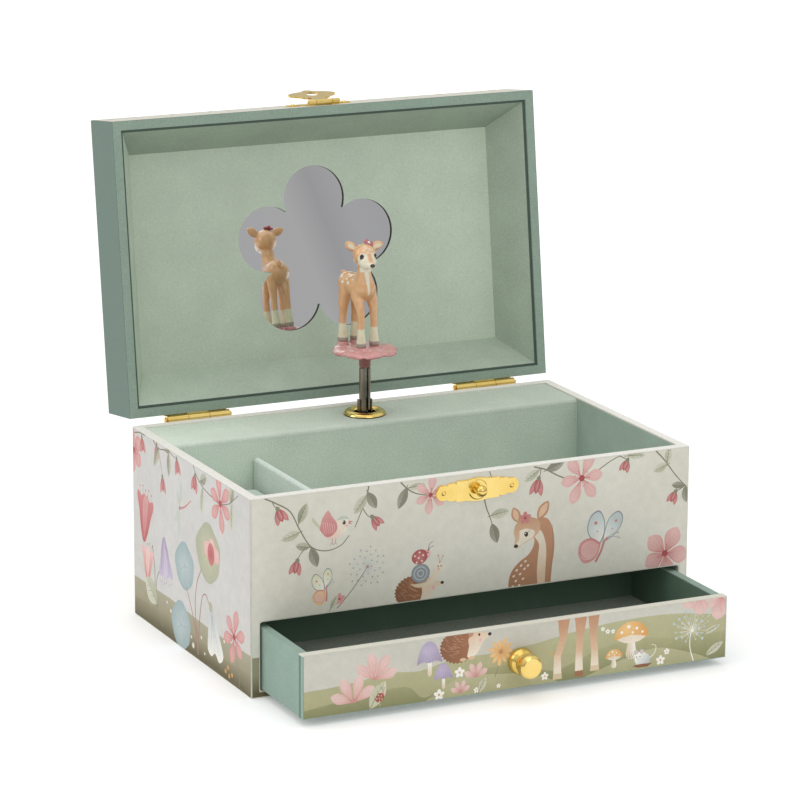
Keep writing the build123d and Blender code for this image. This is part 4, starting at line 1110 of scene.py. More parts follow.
def drawer_sheet():
    sheet = Print(12)
    # painted shade: the drawer's ground is the front's paper darkened to 0.84
    shaded_ground_tone, shaded_ground_light = (
        tuple(0.84 * v for v in c[:3]) + (1.0,) for c in (ground_tone, ground_light))
    ink = paper_ink(shaded_ground_tone, shaded_ground_light, 2.1)
    x0, x1, z0, z1 = -85.8, 85.8, 3.3, 26.5
    sheet.ground(rect(x0, z0, x1, z1), ink)
    hills(sheet, [(x0, 13.2), (-70, 13.8), (-52, 15.8), (-40, 15.0), (-26, 17.8), (-10, 17.6),
                  (6, 19.0), (24, 21.6), (46, 23.2), (66, 22.6), (x1, 19.6)],
          [(x0, 6.2), (-66, 8.4), (-46, 9.8), (-38, 4.6), (-22, 11.0), (0, 12.4), (14, 7.6),
           (34, 13.6), (52, 15.0), (70, 12.8), (x1, 13.6)], x0, x1, z0)
    for mound in ([(-38, 3.2), (-30, 8.0), (-22, 10.6), (-8, 9.4), (4, 7.8), (16, 3.2)],
                  [(26, 3.2), (40, 7.4), (56, 10.6), (70, 7.2), (80, 3.2)]):
        sheet.area(smooth_line(mound, 4), fade("hill_light", "hill", (0, 10), (0, 3)))
    draw_all(
        sheet,
        (stroke, [(-62, 3.2), (-64.5, 6.2), (-66, 8)], 0.4, "leaf_dark", 0.25),
        (stroke, [(-56, 4.0), (-57, 9), (-57.6, 14)], 0.4, "leaf", 0.25),
        (fan, -58.2, 14.0, 11.2, 78, 4, 40),
        (fan, -66.4, 6.6, 11.4, 96, 4, 42),
        (leaf, -60.0, 3.4, 58, 11.5, 5.6, *SILVER),
        (ladybird, -56.0, 7.0, 1.9, 40, "tan_deep"),
        (bellcap, -36.6, 17.6, 1.08),
        (bellcap, -31.0, 10.8, 0.8),
        (hedgehog, -24.2, 21.0, 0.98, 9, 4),
    )
    for k in range(7):
        stroke(sheet, [(-35.6 + k * 0.5, 4.4), (-36.6 + k * 0.9, 8.4 - abs(k - 3) * 0.5)], 0.3,
               "leaf_dark", 0.08)
    for px, pz, r in ((-24.4, 12.2, 1.8), (-32.6, 4.9, 1.9), (58.4, 5.6, 1.7), (61.0, 8.6, 1.1),
                      (10.2, 6.0, 1.4), (-17.6, 4.6, 1.0), (36.0, 19.6, 0.9), (34.0, 20.8, 0.8),
                      (38.2, 19.4, 0.8), (-8.6, 5.0, 0.8)):
        little_flower(sheet, px, pz, r)
    draw_all(
        sheet,
        (stroke, [(-16.0, 4.0), (-17.4, 8.0), (-17.8, 10.4)], 0.3, "leaf", 0.2),
        (fan, -17.8, 9.4, 6.4, 92, 4, 40),
        (fan, -24.0, 4.4, 5.2, 92, 4, 40),
        (leaf, -16.8, 3.4, 62, 6.4, 2.8, *SILVER),
        (stroke, [(-10.2, 8.4), (-8.8, 12.6), (-7.8, 17.6)], 0.3, "leaf_dark", 0.2),
        (daisy, -7.8, 17.8, 5.6),
        (dot, 13.4, 14.4, 0.5, "orange", 6),
        (dot, 11.2, 14.8, 0.4, "orange", 6),
    )
    for top, foot, w in ((17.8, 15.4, 4.9), (24.8, 24.3, 5.0), (30.2, 30.8, 4.6)):
        hoof = 5.0 if top != 30.2 else 6.2
        sheet.area([(top - w / 2, z1), (top + w / 2, z1), (top + w * 0.26, 19.5),
                    (foot + 1.3, 12.5), (foot + 1.7, hoof), (foot - 1.7, hoof),
                    (foot - 1.5, 12.5), (top - w * 0.34, 19.5)],
                   fade("tan", "tan_light", (0, 26), (0, 13)))
        sheet.area([(foot - 1.45, 13.6), (foot + 1.25, 13.6), (foot + 1.7, hoof),
                    (foot - 1.7, hoof)],
                   fade("tan_light", "cream", (0, 13.6), (0, 10)))
        sheet.area([(foot - 1.7, hoof + 1.2), (foot + 1.7, hoof + 1.2), (foot + 1.9, hoof - 0.9),
                    (foot - 1.9, hoof - 0.9)], "tan_deep" if foot == 24.3 else "sand")
    toadstool(sheet, 46.0, 13.8, 1.2)
    toadstool(sheet, 38.8, 8.2, 0.6)
    for k in range(6):
        stroke(sheet, [(43.4 + k * 0.6, 8.0), (42.8 + k * 0.9, 10.8 - abs(k - 3) * 0.4)], 0.28,
               "hill_dark", 0.08)
    mouse(sheet, 50.8, 7.2, 0.92)
    pick = random.Random(5)
    stroke(sheet, [(72.4, 3.4), (70.8, 9.0), (71.0, 14.0), (72.0, 17.6)], 0.46, "white", 0.2)
    for k in range(34):
        a = k * 2.39996
        d = 8.4 * math.sqrt((k + 1) / 34)
        px, pz = 71.6 + d * math.cos(a), 17.2 + 0.8 * d * math.sin(a)
        stroke(sheet, [(71.6, 15.0), (px, pz)], 0.09, "white", 0.06)
        dot(sheet, px, pz, 0.34 + 0.3 * pick.random(), "blue_light", 8)
    draw_all(
        sheet,
        (leaf, 77.6, 4.8, 32, 8.6, 3.0, "olive", "leaf_light"),
        (leaf, 76.8, 13.4, 22, 7.2, 2.2, "olive", "leaf_light"),
        (stroke, [(82.8, 20.6), (84.6, 16.0), (83.6, 10.4)], 0.3, "leaf", 0.15),
        (petal, 74.6, 28.6, math.radians(-84), 7.8, 6.8, "pink", "pink_pale"),
        (petal, 72.0, 29.0, math.radians(-128), 6.0, 5.4, "pink", "pink_pale"),
    )
    for bend, size in ((-150, 6.2), (-104, 8.8), (-60, 7.4)):
        petal(sheet, 84.0, 26.6, math.radians(bend), size, 6.4, "pink", "pink_pale")
    sheet.build("drawer_print", lambda x, z: (x, DRAWER_FACE_Y - 0.08, z), "drawer")


def side_sheet(name, x_face, seed, turned):
    """The painted flowers of one side wall, laid out along y."""
    sheet = Print(seed)
    light, dark = linear("D4D2CE"), linear("CBC9C4")
    ink = paper_ink(dark, light, 4.2 + seed)
    e, low, high = 56.6, 0.4, 74.6
    sheet.ground(rect(-e, low, e, high), ink)
    sheet.area([(-e, low), (e, low), (e, 15.6), (20, 16.4), (-20, 15.4), (-e, 16.2)],
               fade(mix("band", "white", 0.12), "band", (0, 16), (0, 9)))
    sheet.area([(-e, low), (e, low), (e, 7.4), (10, 9.8), (-24, 7.6), (-e, 9.2)],
               fade("band", "band_dark", (0, 9), (0, 2)))
    u = (lambda y: -y) if turned else (lambda y: y)
    flip = (lambda a: 180 - a) if turned else (lambda a: a)
    line = lambda pts: [(u(a), b) for a, b in pts]
    draw_all(
        sheet,
        (vine, line([(56.4, 72.6), (50, 74.2), (44, 74.4)])),
        (flower, u(55.6), 66.0, 10.0, 5, flip(70)),
        (bud, u(47.4), 73.4, flip(-100), 8.4, 4.4),
        (vine, line([(36, 74.6), (30, 72.6), (22, 74.0), (14, 73.0)])),
        (bud, u(32.2), 74.0, flip(-88), 7.0, 4.0),
        (bud, u(12.6), 73.4, flip(-104), 8.6, 4.4),
        (leaf, u(30.4), 72.8, flip(-60), 9.6, 3.8, "leaf_dark", "leaf"),
        (leaf, u(24.0), 73.4, flip(160), 6.6, 3.2),
        (leaf, u(20.4), 73.8, flip(-92), 10.0, 3.8, "leaf_dark", "leaf"),
        (vine, line([(30.6, 72.4), (27.8, 65.8), (26.6, 62.8)]), 0.3),
        (bud, u(26.8), 63.0, flip(-96), 9.0, 4.2),
        (vine, line([(-4.0, 74.6), (-6.2, 71.8), (-13.0, 68.4), (-22, 66.8), (-29.4, 66.2),
         (-38.0, 68.6), (-46.0, 73.6)])),
        (bud, u(-5.6), 71.6, flip(-80), 9.2, 5.6),
        (leaf, u(-10.2), 70.0, flip(154), 7.2, 4.4, "leaf_dark", "leaf"),
        (leaf, u(-13.0), 68.6, flip(-82), 10.8, 3.8, *PALE),
        (flower, u(-29.4), 66.3, 11.4, 6, flip(80)),
        (leaf, u(-38.6), 68.8, flip(112), 7.2, 4.4, "leaf_dark", "leaf"),
        (leaf, u(-40.4), 69.4, flip(-88), 11.4, 3.6, *PALE),
    )
    wing_base = (u(9.8), 54.6)
    for a, l in ((102, 11.5), (70, 7.0), (-82, 12.4), (-56, 7.5)):
        up, down = blade(l, 2.4, 0.6)
        sheet.area(spin(up + down, math.radians(flip(a)), wing_base),
                   fade("leaf_light", "blue_light", wing_base,
                        (wing_base[0], wing_base[1] + (l if a > 0 else -l))))
    stroke(sheet, line([(10.0, 54.4), (4.6, 56.4), (-1.2, 60.2)]), 0.9, "pink_deep", 0.4)
    dot(sheet, wing_base[0], wing_base[1], 0.9, "grey", 8)
    stem = "leaf_dark"
    draw_all(
        sheet,
        (stroke, line([(37.6, 32.8), (35.6, 24.0), (34.6, 12.0), (28.0, 3.0)]), 0.7, stem, 0.5),
        (stroke, line([(35.4, 17.8), (36.2, 12.0), (33.8, 9.0)]), 0.5, stem, 0.4),
        (stroke, line([(27.2, 27.8), (33.2, 21.0), (34.6, 12.6)]), 0.5, stem, 0.5),
        (trumpet, u(45.2), 42.4, flip(97), 1.16),
        (trumpet, u(42.8), 24.2, flip(92), 0.86, "pink_deep", "pink_light"),
        (trumpet, u(24.8), 30.2, flip(-98), 0.96, "violet", "violet_light"),
        (leaf, u(33.6), 10.4, flip(34), 13.6, 9.8, *PALE),
    )
    for y, z, r, a, b in ((5.5, 33.2, 9.2, "blue", "blue_light"),
                          (9.4, 9.0, 9.4, "blue", "blue_light"),
                          (-17.6, 44.4, 11.4, "leaf", "olive")):
        round_leaf(sheet, u(y), z, r, a, b)
    mauve = mix("pink_deep", "stem", 0.55)
    draw_all(
        sheet,
        (stroke, line([(3.8, 25.4), (-2.4, 16.0), (-6.0, 8.0), (-7.0, 2.0)]), 0.5, mauve, 0.8),
        (stroke, line([(-11.2, 36.6), (-6.4, 29.6), (-4.6, 20.0), (-6.4, 8.0)]), 0.5, mauve, 0.7),
        (stroke, line([(-7.0, 2.0), (-8.4, 14.0), (-11.2, 25.0), (-14.8, 27.6), (-18.6, 24.0),
         (-19.6, 20.8)]), 0.7, mauve, 0.45),
    )
    for a in (40, 96, 150):
        petal(sheet, u(-20.6), 42.6, math.radians(flip(a)), 8.4, 6.6, "pink", "pink_light")
    sheet.area(oval(u(-20.2), 44.6, 3.2, 4.4), halo("rose", "pink_deep", (u(-20.2), 44.6), 5))
    bell = line(smooth_line([(-19.2, 25.0), (-17.4, 17.0), (-16.4, 8.6), (-17.6, 6.2), (-20.4, 5.4),
                             (-23.6, 7.4), (-27.4, 4.8), (-31.4, 8.2), (-27.2, 15.6), (-22.4, 22.4),
                             (-19.2, 25.0)], 3)[:-1])
    sheet.area(bell, fade("grey_light", "white", (u(-19), 25), (u(-24), 4)))
    for foot in (-19.6, -23.4, -27.4):
        stroke(sheet, line([(-20.6, 21.4), ((foot - 20.6) / 2, 14.0), (foot, 7.6)]), 0.25,
               "grey", 0.1)
    sheet.area(oval(u(-19.6), 24.2, 1.5, 2.0), "leaf")
    flower(sheet, u(-41.6), 19.0, 11.2, 6, flip(104))
    stroke(sheet, line([(-43.8, 10.6), (-46.0, 6.0), (-46.6, 1.2)]), 0.5, "leaf_dark", 0.4)
    for y, z, r in ((19.6, 11.6, 0.8), (23.4, 14.0, 0.6), (-2.4, 4.4, 1.2), (-0.6, 7.2, 0.7),
                    (-10.4, 9.8, 0.7), (-13.6, 4.4, 0.6), (-32.2, 14.6, 0.7)):
        dot(sheet, u(y), z, r, "cream", 7)
    for y, z in ((-33.4, 3.6), (-35.6, 5.6), (-36.8, 2.6), (-39.4, 3.8)):
        dot(sheet, u(y), z, 0.9, "orange", 7)
    sheet.build(name, lambda y, z: (x_face, y, z), "box")


def garland(sheet, x0, x1, z, seed, step=30.0):
    """A hanging run of vines with buds, leaves and flowers along a top edge."""
    pick = random.Random(seed)
    x = x0 + 12
    k = 0
    while x < x1 - 10:
        drop = z - 3 - 4 * pick.random()
        vine(sheet, [(x - 11, z), (x - 5, drop + 0.8), (x, drop), (x + 6, drop + 1.2), (x + 12, z)])
        leaf(sheet, x - 6, drop + 1.2, 200 + 30 * pick.random(), 7.6, 3.4)
        leaf(sheet, x + 6, drop + 1.2, -50 - 40 * pick.random(), 8.4, 3.8, *DARK)
        if k % 2:
            flower(sheet, x, drop - 1.0, 8.2 + 2 * pick.random(), 6 if k % 4 == 1 else 5,
                   60 + 60 * pick.random())
        else:
            bud(sheet, x - 2, drop, -95, 8.4, 4.6)
            bud(sheet, x + 4, drop + 0.6, -70, 6.6, 3.8)
        x += step
        k += 1


def back_sheet():
    sheet = Print(15)
    e, low, high = 89.6, 0.4, 74.6
    sheet.ground(rect(-e, low, e, high), paper_ink(ground_tone, ground_light, 6.6))
    draw_all(
        sheet,
        (hills, [(-e, 15.4), (-50, 17.6), (-10, 22.2), (30, 24.0), (60, 19.6), (e, 16.2)],
         [(-e, 7.4), (-40, 11.2), (0, 9.0), (40, 13.8), (e, 9.4)], -e, e, low),
        (garland, -e, e, high, 7),
        (seed_head, -58, 34, 8.4, [(-62, 14.0), (-60.6, 22.0), (-58.6, 28), (-58, 34)]),
        (seed_head, -44, 27, 6.2, [(-47, 12.0), (-45.6, 18.0), (-44, 27)], 4),
        (hedgehog, -14, 25.6, 0.9, 21, 4),
        (butterfly, 18, 38, 0.85, 8),
        (toadstool, 44, 24.6, 1.15),
        (toadstool, 52.6, 20.0, 0.7),
        (bellcap, 32, 23.4, 0.9),
        (mouse, 64, 19.8, 1.0),
        (fan, -76, 17, 10, 88, 4, 34),
        (fan, 78, 16, 9, 92, 4, 34),
    )
    for px, pz in ((-30, 12), (-36, 6), (4, 13.4), (22, 8.6), (60, 9.4), (70, 12), (-68, 6.2),
                   (12, 5)):
        little_flower(sheet, px, pz, 1.6)
    sheet.build("back_print", lambda x, z: (-x, 57.08, z), "box")


def lid_sheets():
    """The lid's printed wrap: its front and back edges and its top."""
    edge = 89.6
    for name, y, flip in (("lid_front_print", -57.08, 1), ("lid_back_print", 57.08, -1)):
        sheet = Print(17)
        lo, hi = (75.8, 97.5) if flip > 0 else (79.0, 97.5)
        sheet.ground(rect(-edge, lo, edge, hi),
                     paper_ink(ground_tone, ground_light, 8.2))
        pick = random.Random(31 + flip)
        for k in range(9):
            x = -82 + 20 * k + 5 * pick.random()
            vine(sheet, [(x - 8, 92.6), (x - 2, 94.8), (x + 5, 94.0), (x + 12, 92.6)], 0.3)
            leaf(sheet, x, 94.6, 210 + 60 * pick.random(), 5.4, 2.4, *PALE)
            leaf(sheet, x + 5, 94.0, 300 + 60 * pick.random(), 5.0, 2.2, *PALE)
        sheet.build(name, lambda x, z, y=y, f=flip: lid_open(f * x, y, z), "lid")
    sheet = Print(19)
    e, f = 89.5, 56.5
    sheet.ground(rect(-e, -f, e, f), paper_ink(ground_tone, ground_light, 9.9))
    hills(sheet, [(-e, -22), (-40, -18), (0, -10), (46, -14), (e, -20)],
          [(-e, -38), (-30, -30), (20, -36), (60, -28), (e, -34)], -e, e, -f)
    garland(sheet, -e, e, f, 12, 28.0)
    for k, (x, y, r, n) in enumerate((
            (-66, -20, 13, 5), (64, -16, 12, 6), (-46, -34, 9, 6), (48, -32, 10, 5))):
        stroke(sheet, [(x + 3, -f), (x + 1.5, y - 14), (x, y)], 0.8, "leaf_dark", 0.5)
        flower(sheet, x, y, r, n, 70 + 20 * k)
    draw_all(
        sheet,
        (round_leaf, -78, -38, 9.5, "blue", "blue_light"),
        (round_leaf, 78, -40, 10.5, "leaf", "olive"),
        (seed_head, -26, 2, 10.5, [(-30, -40), (-29, -22), (-27, -8), (-26, 2)]),
        (butterfly, 18, 6, 1.25, -6),
        (hedgehog, -4, -26, 1.15, 33, 4),
        (toadstool, 28, -28, 1.2),
        (bellcap, 37, -34, 1.1),
        (bird, -54, 24, 1.2),
    )
    for px, pz in ((-20, -40), (10, -46), (60, -46), (-60, -48), (34, -50), (-40, -52), (0, -52)):
        little_flower(sheet, px, pz, 2.0)
    sheet.build("lid_top_print", lambda x, y: lid_open(x, y, 98.08), "lid")


front_sheet()
drawer_sheet()
side_sheet("left_print", -90.08, 13, False)
side_sheet("right_print", 90.08, 14, True)
back_sheet()
lid_sheets()


# ----------------------------------------------------------------- figure


def tube(path, radii, sides=16):
    """A closed tube through points with a radius, or a pair of half widths, at each."""
    verts, faces = [], []
    pts = [Vector(p) for p in path]
    frame_side = None
    for i, p in enumerate(pts):
        d = (pts[min(i + 1, len(pts) - 1)] - pts[max(i - 1, 0)]).normalized()
        ref = frame_side if frame_side else Vector((1, 0, 0) if abs(d.x) < 0.9 else (0, 1, 0))
        side = (ref - d * ref.dot(d)).normalized()
        frame_side = side
        other = d.cross(side)
        r = radii[i]
        ra, rb = r if isinstance(r, tuple) else (r, r)
        for k in range(sides):
            a = k * math.tau / sides
            verts.append(p + side * (ra * math.cos(a)) + other * (rb * math.sin(a)))
    for i in range(len(pts) - 1):
        for k in range(sides):
            a, b = i * sides + k, i * sides + (k + 1) % sides
            faces.append((a, b, b + sides, a + sides))
    faces.append(tuple(range(sides))[::-1])
    faces.append(tuple(range((len(pts) - 1) * sides, len(pts) * sides)))
    return verts, faces


def blob(centre, radii, turn=(0, 0, 0), rings=12, sides=20):
    """A closed ellipsoid."""
    verts, faces = [], []
    rot = Matrix.Rotation(math.radians(turn[2]), 3, "Z") @ Matrix.Rotation(
        math.radians(turn[1]), 3, "Y") @ Matrix.Rotation(math.radians(turn[0]), 3, "X")
    for i in range(1, rings):
        t = math.pi * i / rings
        for k in range(sides):
            a = k * math.tau / sides
            p = Vector((radii[0] * math.sin(t) * math.cos(a), radii[1] * math.sin(t) * math.sin(a),
                        radii[2] * math.cos(t)))
            verts.append(rot @ p + Vector(centre))
    top, bottom = len(verts), len(verts) + 1
    verts += [rot @ Vector((0, 0, end * radii[2])) + Vector(centre) for end in (1, -1)]
    for i in range(rings - 2):
        for k in range(sides):
            a, b = i * sides + k, i * sides + (k + 1) % sides
            faces.append((a, a + sides, b + sides, b))
    for k in range(sides):
        faces.append((top, k, (k + 1) % sides))
        last = (rings - 2) * sides
        faces.append((bottom, last + (k + 1) % sides, last + k))
    return verts, faces


def joined(shapes, lift):
    """The points and faces of closed shapes as one list of each, moved by lift."""
    verts, faces = [], []
    for v, f in shapes:
        base = len(verts)
        verts += [Vector(p) + Vector(lift) for p in v]
        faces += [tuple(i + base for i in face) for face in f]
    return verts, faces


def merged(name, shapes, voxel, smoothing, mat, slot, body, lift=(0, 0, 0)):
    """One skin over closed shapes that overlap."""
    obj = mesh_piece(name, *joined(shapes, lift), body, slot, mat)
    bm = bmesh.new()
    bm.from_mesh(obj.data)
    bmesh.ops.recalc_face_normals(bm, faces=bm.faces)
    bm.to_mesh(obj.data)
    bm.free()
    remesh = obj.modifiers.new("skin", "REMESH")
    remesh.mode = "VOXEL"
    remesh.voxel_size = voxel * MM
    remesh.use_smooth_shade = True
    relax = obj.modifiers.new("relax", "SMOOTH")
    relax.factor = 0.5
    relax.iterations = smoothing
    apply_modifiers(obj)
    for face in obj.data.polygons:
        face.use_smooth = True
    return obj


FAWN = {k: linear(v) for k, v in {
    "coat": "DAA06C", "coat_painted_light": "E6B787", "coat_painted_shade": "BB8252", "cream": "EFE6CF",
    "sock": "E4DDBE", "hoof": "A3968A", "inner": "E9DABE", "white": "F7F2E6",
    "petal": "C77F7E", "petal_painted_light": "DCA29E", "petal_deep_and_painted_shade": "A05F5C", "rose": "A54A57",
}.items()}


def smoothstep(a, b, x):
    t = min(max((x - a) / (b - a), 0.0), 1.0)
    return t * t * (3 - 2 * t)


HOOVES = ((-3.0, -3.0), (3.5, -0.9), (-4.9, 9.9), (0.7, 10.5))
EARS = ((-1, 141.7, 34), (1, 141.1, 16))        # side, height, slope in degrees
SEAT = (0, STEM_Y, 0)


def sway(y, z):
    """How far the fawn's rump and head stand off its straight line, towards -x."""
    return 0.17 * max(y, 0.0) + 1.0 * smoothstep(124.0, 134.0, z)


def swayed(shapes):
    return [([(p[0] - sway(p[1], p[2]), p[1], p[2]) for p in verts], faces)
            for verts, faces in shapes]


def fawn():
    shapes = []
    for foot_x, y in HOOVES:
        fore = y < 5.0
        x = foot_x + sway(y, 102.0)
        hip_y = 1.2 if fore else 9.0
        hip_x = x * 0.86
        path = [(x, y - 0.1, 102.0), (x, y - 0.1, 102.8), (x, y, 104.0), (x, y + 0.1, 107.2),
                (x * 0.98, y + 0.2, 109.6), (x * 0.97, y + 0.1, 112.5),
                (x * 0.95, y * 0.7 + hip_y * 0.3, 117.0), (hip_x, hip_y, 121.5),
                (hip_x * 0.8, hip_y, 125.0)]
        radii = [1.95, 2.1, 1.9, 1.5, 1.4, 1.42, 1.7 if fore else 1.95, 2.5, 2.6]
        shapes.append(tube(path, radii))
    shapes.append(blob((0, 5.0, 124.4), (4.7, 8.4, 4.7)))
    shapes.append(blob((0, 0.6, 124.4), (4.5, 4.3, 5.1)))
    shapes.append(blob((0, 9.6, 124.6), (4.8, 4.6, 4.9)))
    shapes.append(tube([(0, 1.6, 122.5), (0, 0.2, 127.0), (0, -0.8, 131.0), (0, -1.0, 134.6),
                        (0, -1.0, 137.0)], [4.1, 3.7, 2.75, 2.45, 2.5]))
    shapes.append(blob((0, -1.6, 137.9), (4.65, 4.7, 4.55)))
    shapes.append(blob((0, -3.6, 136.2), (3.7, 4.2, 3.2), (18, 0, 0)))
    shapes.append(tube([(0, -3.4, 136.0), (0, -6.4, 135.2), (0, -8.3, 134.8)],
                       [(2.9, 2.3), (2.1, 1.8), (1.15, 1.1)]))
    shapes.append(blob((0, -8.2, 134.8), (1.25, 1.0, 1.15)))
    shapes.append(blob((0, 13.3, 127.6), (1.3, 1.7, 2.0), (-30, 0, 0)))
    for side, height, slope in EARS:
        shapes.append(blob((side * 5.4, -0.8, height), (3.0, 0.85, 1.8), (0, -side * slope, 0)))
    skin = merged("fawn_body", swayed(shapes), 0.34, 5, painted_resin, "fawn_paint", "figure", SEAT)
    spots = [(-3.4, 3.0, 128.0), (-2.2, 5.2, 128.9), (-3.6, 6.6, 127.6), (-1.4, 7.6, 129.2),
             (-3.4, 9.6, 127.8), (-4.3, 4.6, 126.2), (-4.5, 8.2, 126.0), (-2.0, 10.8, 128.9),
             (0.6, 6.0, 129.3), (1.8, 8.6, 129.0), (0.2, 9.6, 129.5), (0.9, 3.6, 129.2),
             (3.4, 3.0, 128.0), (2.6, 5.2, 128.8), (3.6, 6.6, 127.6), (3.4, 9.6, 127.8),
             (4.3, 4.6, 126.2), (4.5, 8.2, 126.0), (2.2, 10.9, 128.8),
             (-0.8, -4.6, 141.4), (0.5, -5.1, 141.0), (-1.9, -5.1, 140.6), (1.6, -5.0, 140.6),
             (-0.4, -6.0, 139.9), (0.9, -6.0, 139.5), (-1.0, -3.4, 142.0)]
    paint = skin.data.color_attributes.new("paint", "FLOAT_COLOR", "POINT")
    for i, v in enumerate(skin.data.vertices):
        x, y, z = v.co.x / MM, v.co.y / MM - STEM_Y, v.co.z / MM
        x += sway(y, z)
        n = v.normal
        # painted light and shade: the coat is lighter on faces turned up and darker on the body's
        # underside
        c = mix(FAWN["coat"], FAWN["coat_painted_light"], 0.5 + 0.5 * n.z)
        c = mix(c, FAWN["coat_painted_shade"], 0.55 * smoothstep(0.2, 0.9, -n.z) * smoothstep(112, 122, z))
        if 117 < z < 131:
            belly = smoothstep(0.55, 0.95, -n.z) * smoothstep(121.5, 119.5, z)
            c = mix(c, FAWN["cream"], belly * 0.8)
        if 122.4 < z < 134.0 and y < 1.0:
            half = 0.4 + 0.5 * smoothstep(123.5, 131, z)
            chest = smoothstep(half + 0.2, half - 0.1, abs(x)) * smoothstep(0.1, -0.4, n.y)
            c = mix(c, FAWN["cream"], chest)
        if z < 109.8:
            c = mix(c, FAWN["sock"], smoothstep(109.4, 109.0, z))
            c = mix(c, FAWN["hoof"], smoothstep(103.75, 103.45, z))
        if z > 131.5 and y < 2.0:
            mask = smoothstep(139.9, 138.9, z)
            mask *= smoothstep(-3.2, -4.0, y + 0.28 * max(z - 136.0, 0.0))
            blaze = smoothstep(1.15, 0.6, abs(x)) * smoothstep(135.6, 136.4, z)
            low = smoothstep(134.2, 133.4, z) * smoothstep(-1.6, -2.4, y)
            c = mix(c, FAWN["cream"], max(mask * (1 - blaze), low))
        if z > 139.8 and abs(x) > 3.6:
            slope = math.radians(34 if x < 0 else 16)
            dx, dz = abs(x) - 5.5, z - (141.8 if x < 0 else 141.2)
            along = (dx * math.cos(slope) + dz * math.sin(slope)) / 1.9
            across = (dz * math.cos(slope) - dx * math.sin(slope)) / 1.0
            inner = smoothstep(1.1, 0.8, math.hypot(along, across)) * smoothstep(-0.1, -0.4, n.y)
            c = mix(c, FAWN["inner"], inner)
        p = Vector((x, y, z))
        for s in spots:
            d = (p - Vector(s)).length
            if d < 1.4:
                white = FAWN["white"] if s[2] < 135 else FAWN["inner"]
                c = mix(c, white, smoothstep(0.78, 0.5, d) * (1.0 if s[2] < 135 else 0.7))
        paint.data[i].color = c
    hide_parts("fawn")

    dark = Shader("fawn_eye_gloss", 0.08, Coat_Weight=0.6, Coat_Roughness=0.03)
    dark.mottled(linear("17110E"), linear("2A201B"), 900)
    parts = []
    for side in (-1, 1):
        parts.append(blob((side * 2.75, -5.15, 138.0), (0.85, 0.55, 1.15), (0, 0, side * 32)))
    parts.append(blob((0, -8.95, 135.1), (1.0, 0.6, 0.75), (-14, 0, 0)))
    mesh_piece("fawn_eyes_and_nose", *joined(swayed(parts), SEAT), "figure", "fawn_paint", dark.mat)


def petal_ring(count, reach, half, thick, z, start, droop=0.0, cup=0.25, inner=1.5):
    """Closed, softly cupped petals around the stem."""
    shapes = []
    rows, cols = 9, 9
    for k in range(count):
        a = math.radians(start) + k * math.tau / count
        top, bottom = [], []
        for i in range(rows + 1):
            t = i / rows
            r = inner + (reach - inner) * t
            w = half * (0.4 + 0.6 * t / 0.6 if t < 0.6
                        else math.sqrt(max(1 - ((t - 0.6) / 0.41) ** 2, 0)))
            for j in range(cols + 1):
                s = -1 + 2 * j / cols
                y = w * s
                curve = cup * half * (s * s) * 0.4 + cup * 1.6 * t * t - droop * t
                groove = -0.4 * math.exp(-(s / 0.16) ** 2) * (1 - t * 0.2)
                edge = 1 - 0.8 * max(abs(s) ** 6, t ** 10)
                base = z + curve + groove
                out = r * (1 - 0.05 * math.exp(-(s / 0.3) ** 2) * t ** 4)
                top.append((out, y, base + thick * 0.5 * edge))
                bottom.append((out, y, base - thick * 0.5 * edge))
        c, s_ = math.cos(a), math.sin(a)
        verts = [(x * c - y * s_, x * s_ + y * c, zz) for x, y, zz in top + bottom]
        faces = []
        n = cols + 1
        off = (rows + 1) * n
        for i in range(rows):
            for j in range(cols):
                p = i * n + j
                faces.append((p, p + n, p + n + 1, p + 1))
                faces.append((off + p, off + p + 1, off + p + n + 1, off + p + n))
        rim = [i * n for i in range(rows + 1)] + [rows * n + j for j in range(1, n)] + \
              [i * n + cols for i in range(rows - 1, -1, -1)] + [j for j in range(cols - 1, 0, -1)]
        for q in range(len(rim)):
            p1, p2 = rim[q], rim[(q + 1) % len(rim)]
            faces.append((p1, p2, off + p2, off + p1))
        shapes.append((verts, faces))
    return shapes


def paint_by(obj, rule):
    layer = obj.data.color_attributes.new("paint", "FLOAT_COLOR", "POINT")
    for i, v in enumerate(obj.data.vertices):
        layer.data[i].color = rule(v.co.x / MM, v.co.y / MM, v.co.z / MM, v.normal)


def flower_stand():
    shapes = petal_ring(5, 12.9, 5.0, 1.9, 100.3, 28, 0.0, -0.34)
    shapes += petal_ring(5, 12.9, 5.6, 2.0, 101.1, 64, 0.2, -0.4)
    shapes.append(tube([(0, 0, 93.3), (0, 0, 96.8), (0, 0, 98.4), (0, 0, 99.6)],
                       [2.3, 2.35, 3.2, 5.4], 24))
    shapes.append(tube([(0, 0, 99.2), (0, 0, 101.5), (0, 0, 102.0)], [6.8, 6.8, 6.2], 40))
    for x, y in HOOVES:
        shapes.append(tube([(x, y, 99.5), (x, y, 101.7), (x, y, 102.02)], [2.3, 2.3, 2.1], 20))
    obj = merged("rose_flower_stand", shapes, 0.34, 3, painted_resin, "petals", "figure", SEAT)

    def rule(x, y, z, n):
        r = math.hypot(x, y - STEM_Y)
        # painted light and shade: petals lighter on faces turned up, darker underneath and down the
        # stem
        c = mix(FAWN["petal"], FAWN["petal_painted_light"], 0.35 + 0.5 * n.z)
        c = mix(c, FAWN["petal_deep_and_painted_shade"], smoothstep(0.3, 0.9, -n.z) * 0.7)
        c = mix(c, FAWN["petal_deep_and_painted_shade"], smoothstep(98.6, 96.0, z) * 0.9)
        # darker towards the middle
        return mix(c, FAWN["petal_deep_and_painted_shade"], 0.35 * smoothstep(9.0, 3.0, r))

    paint_by(obj, rule)
    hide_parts("flower_stand")


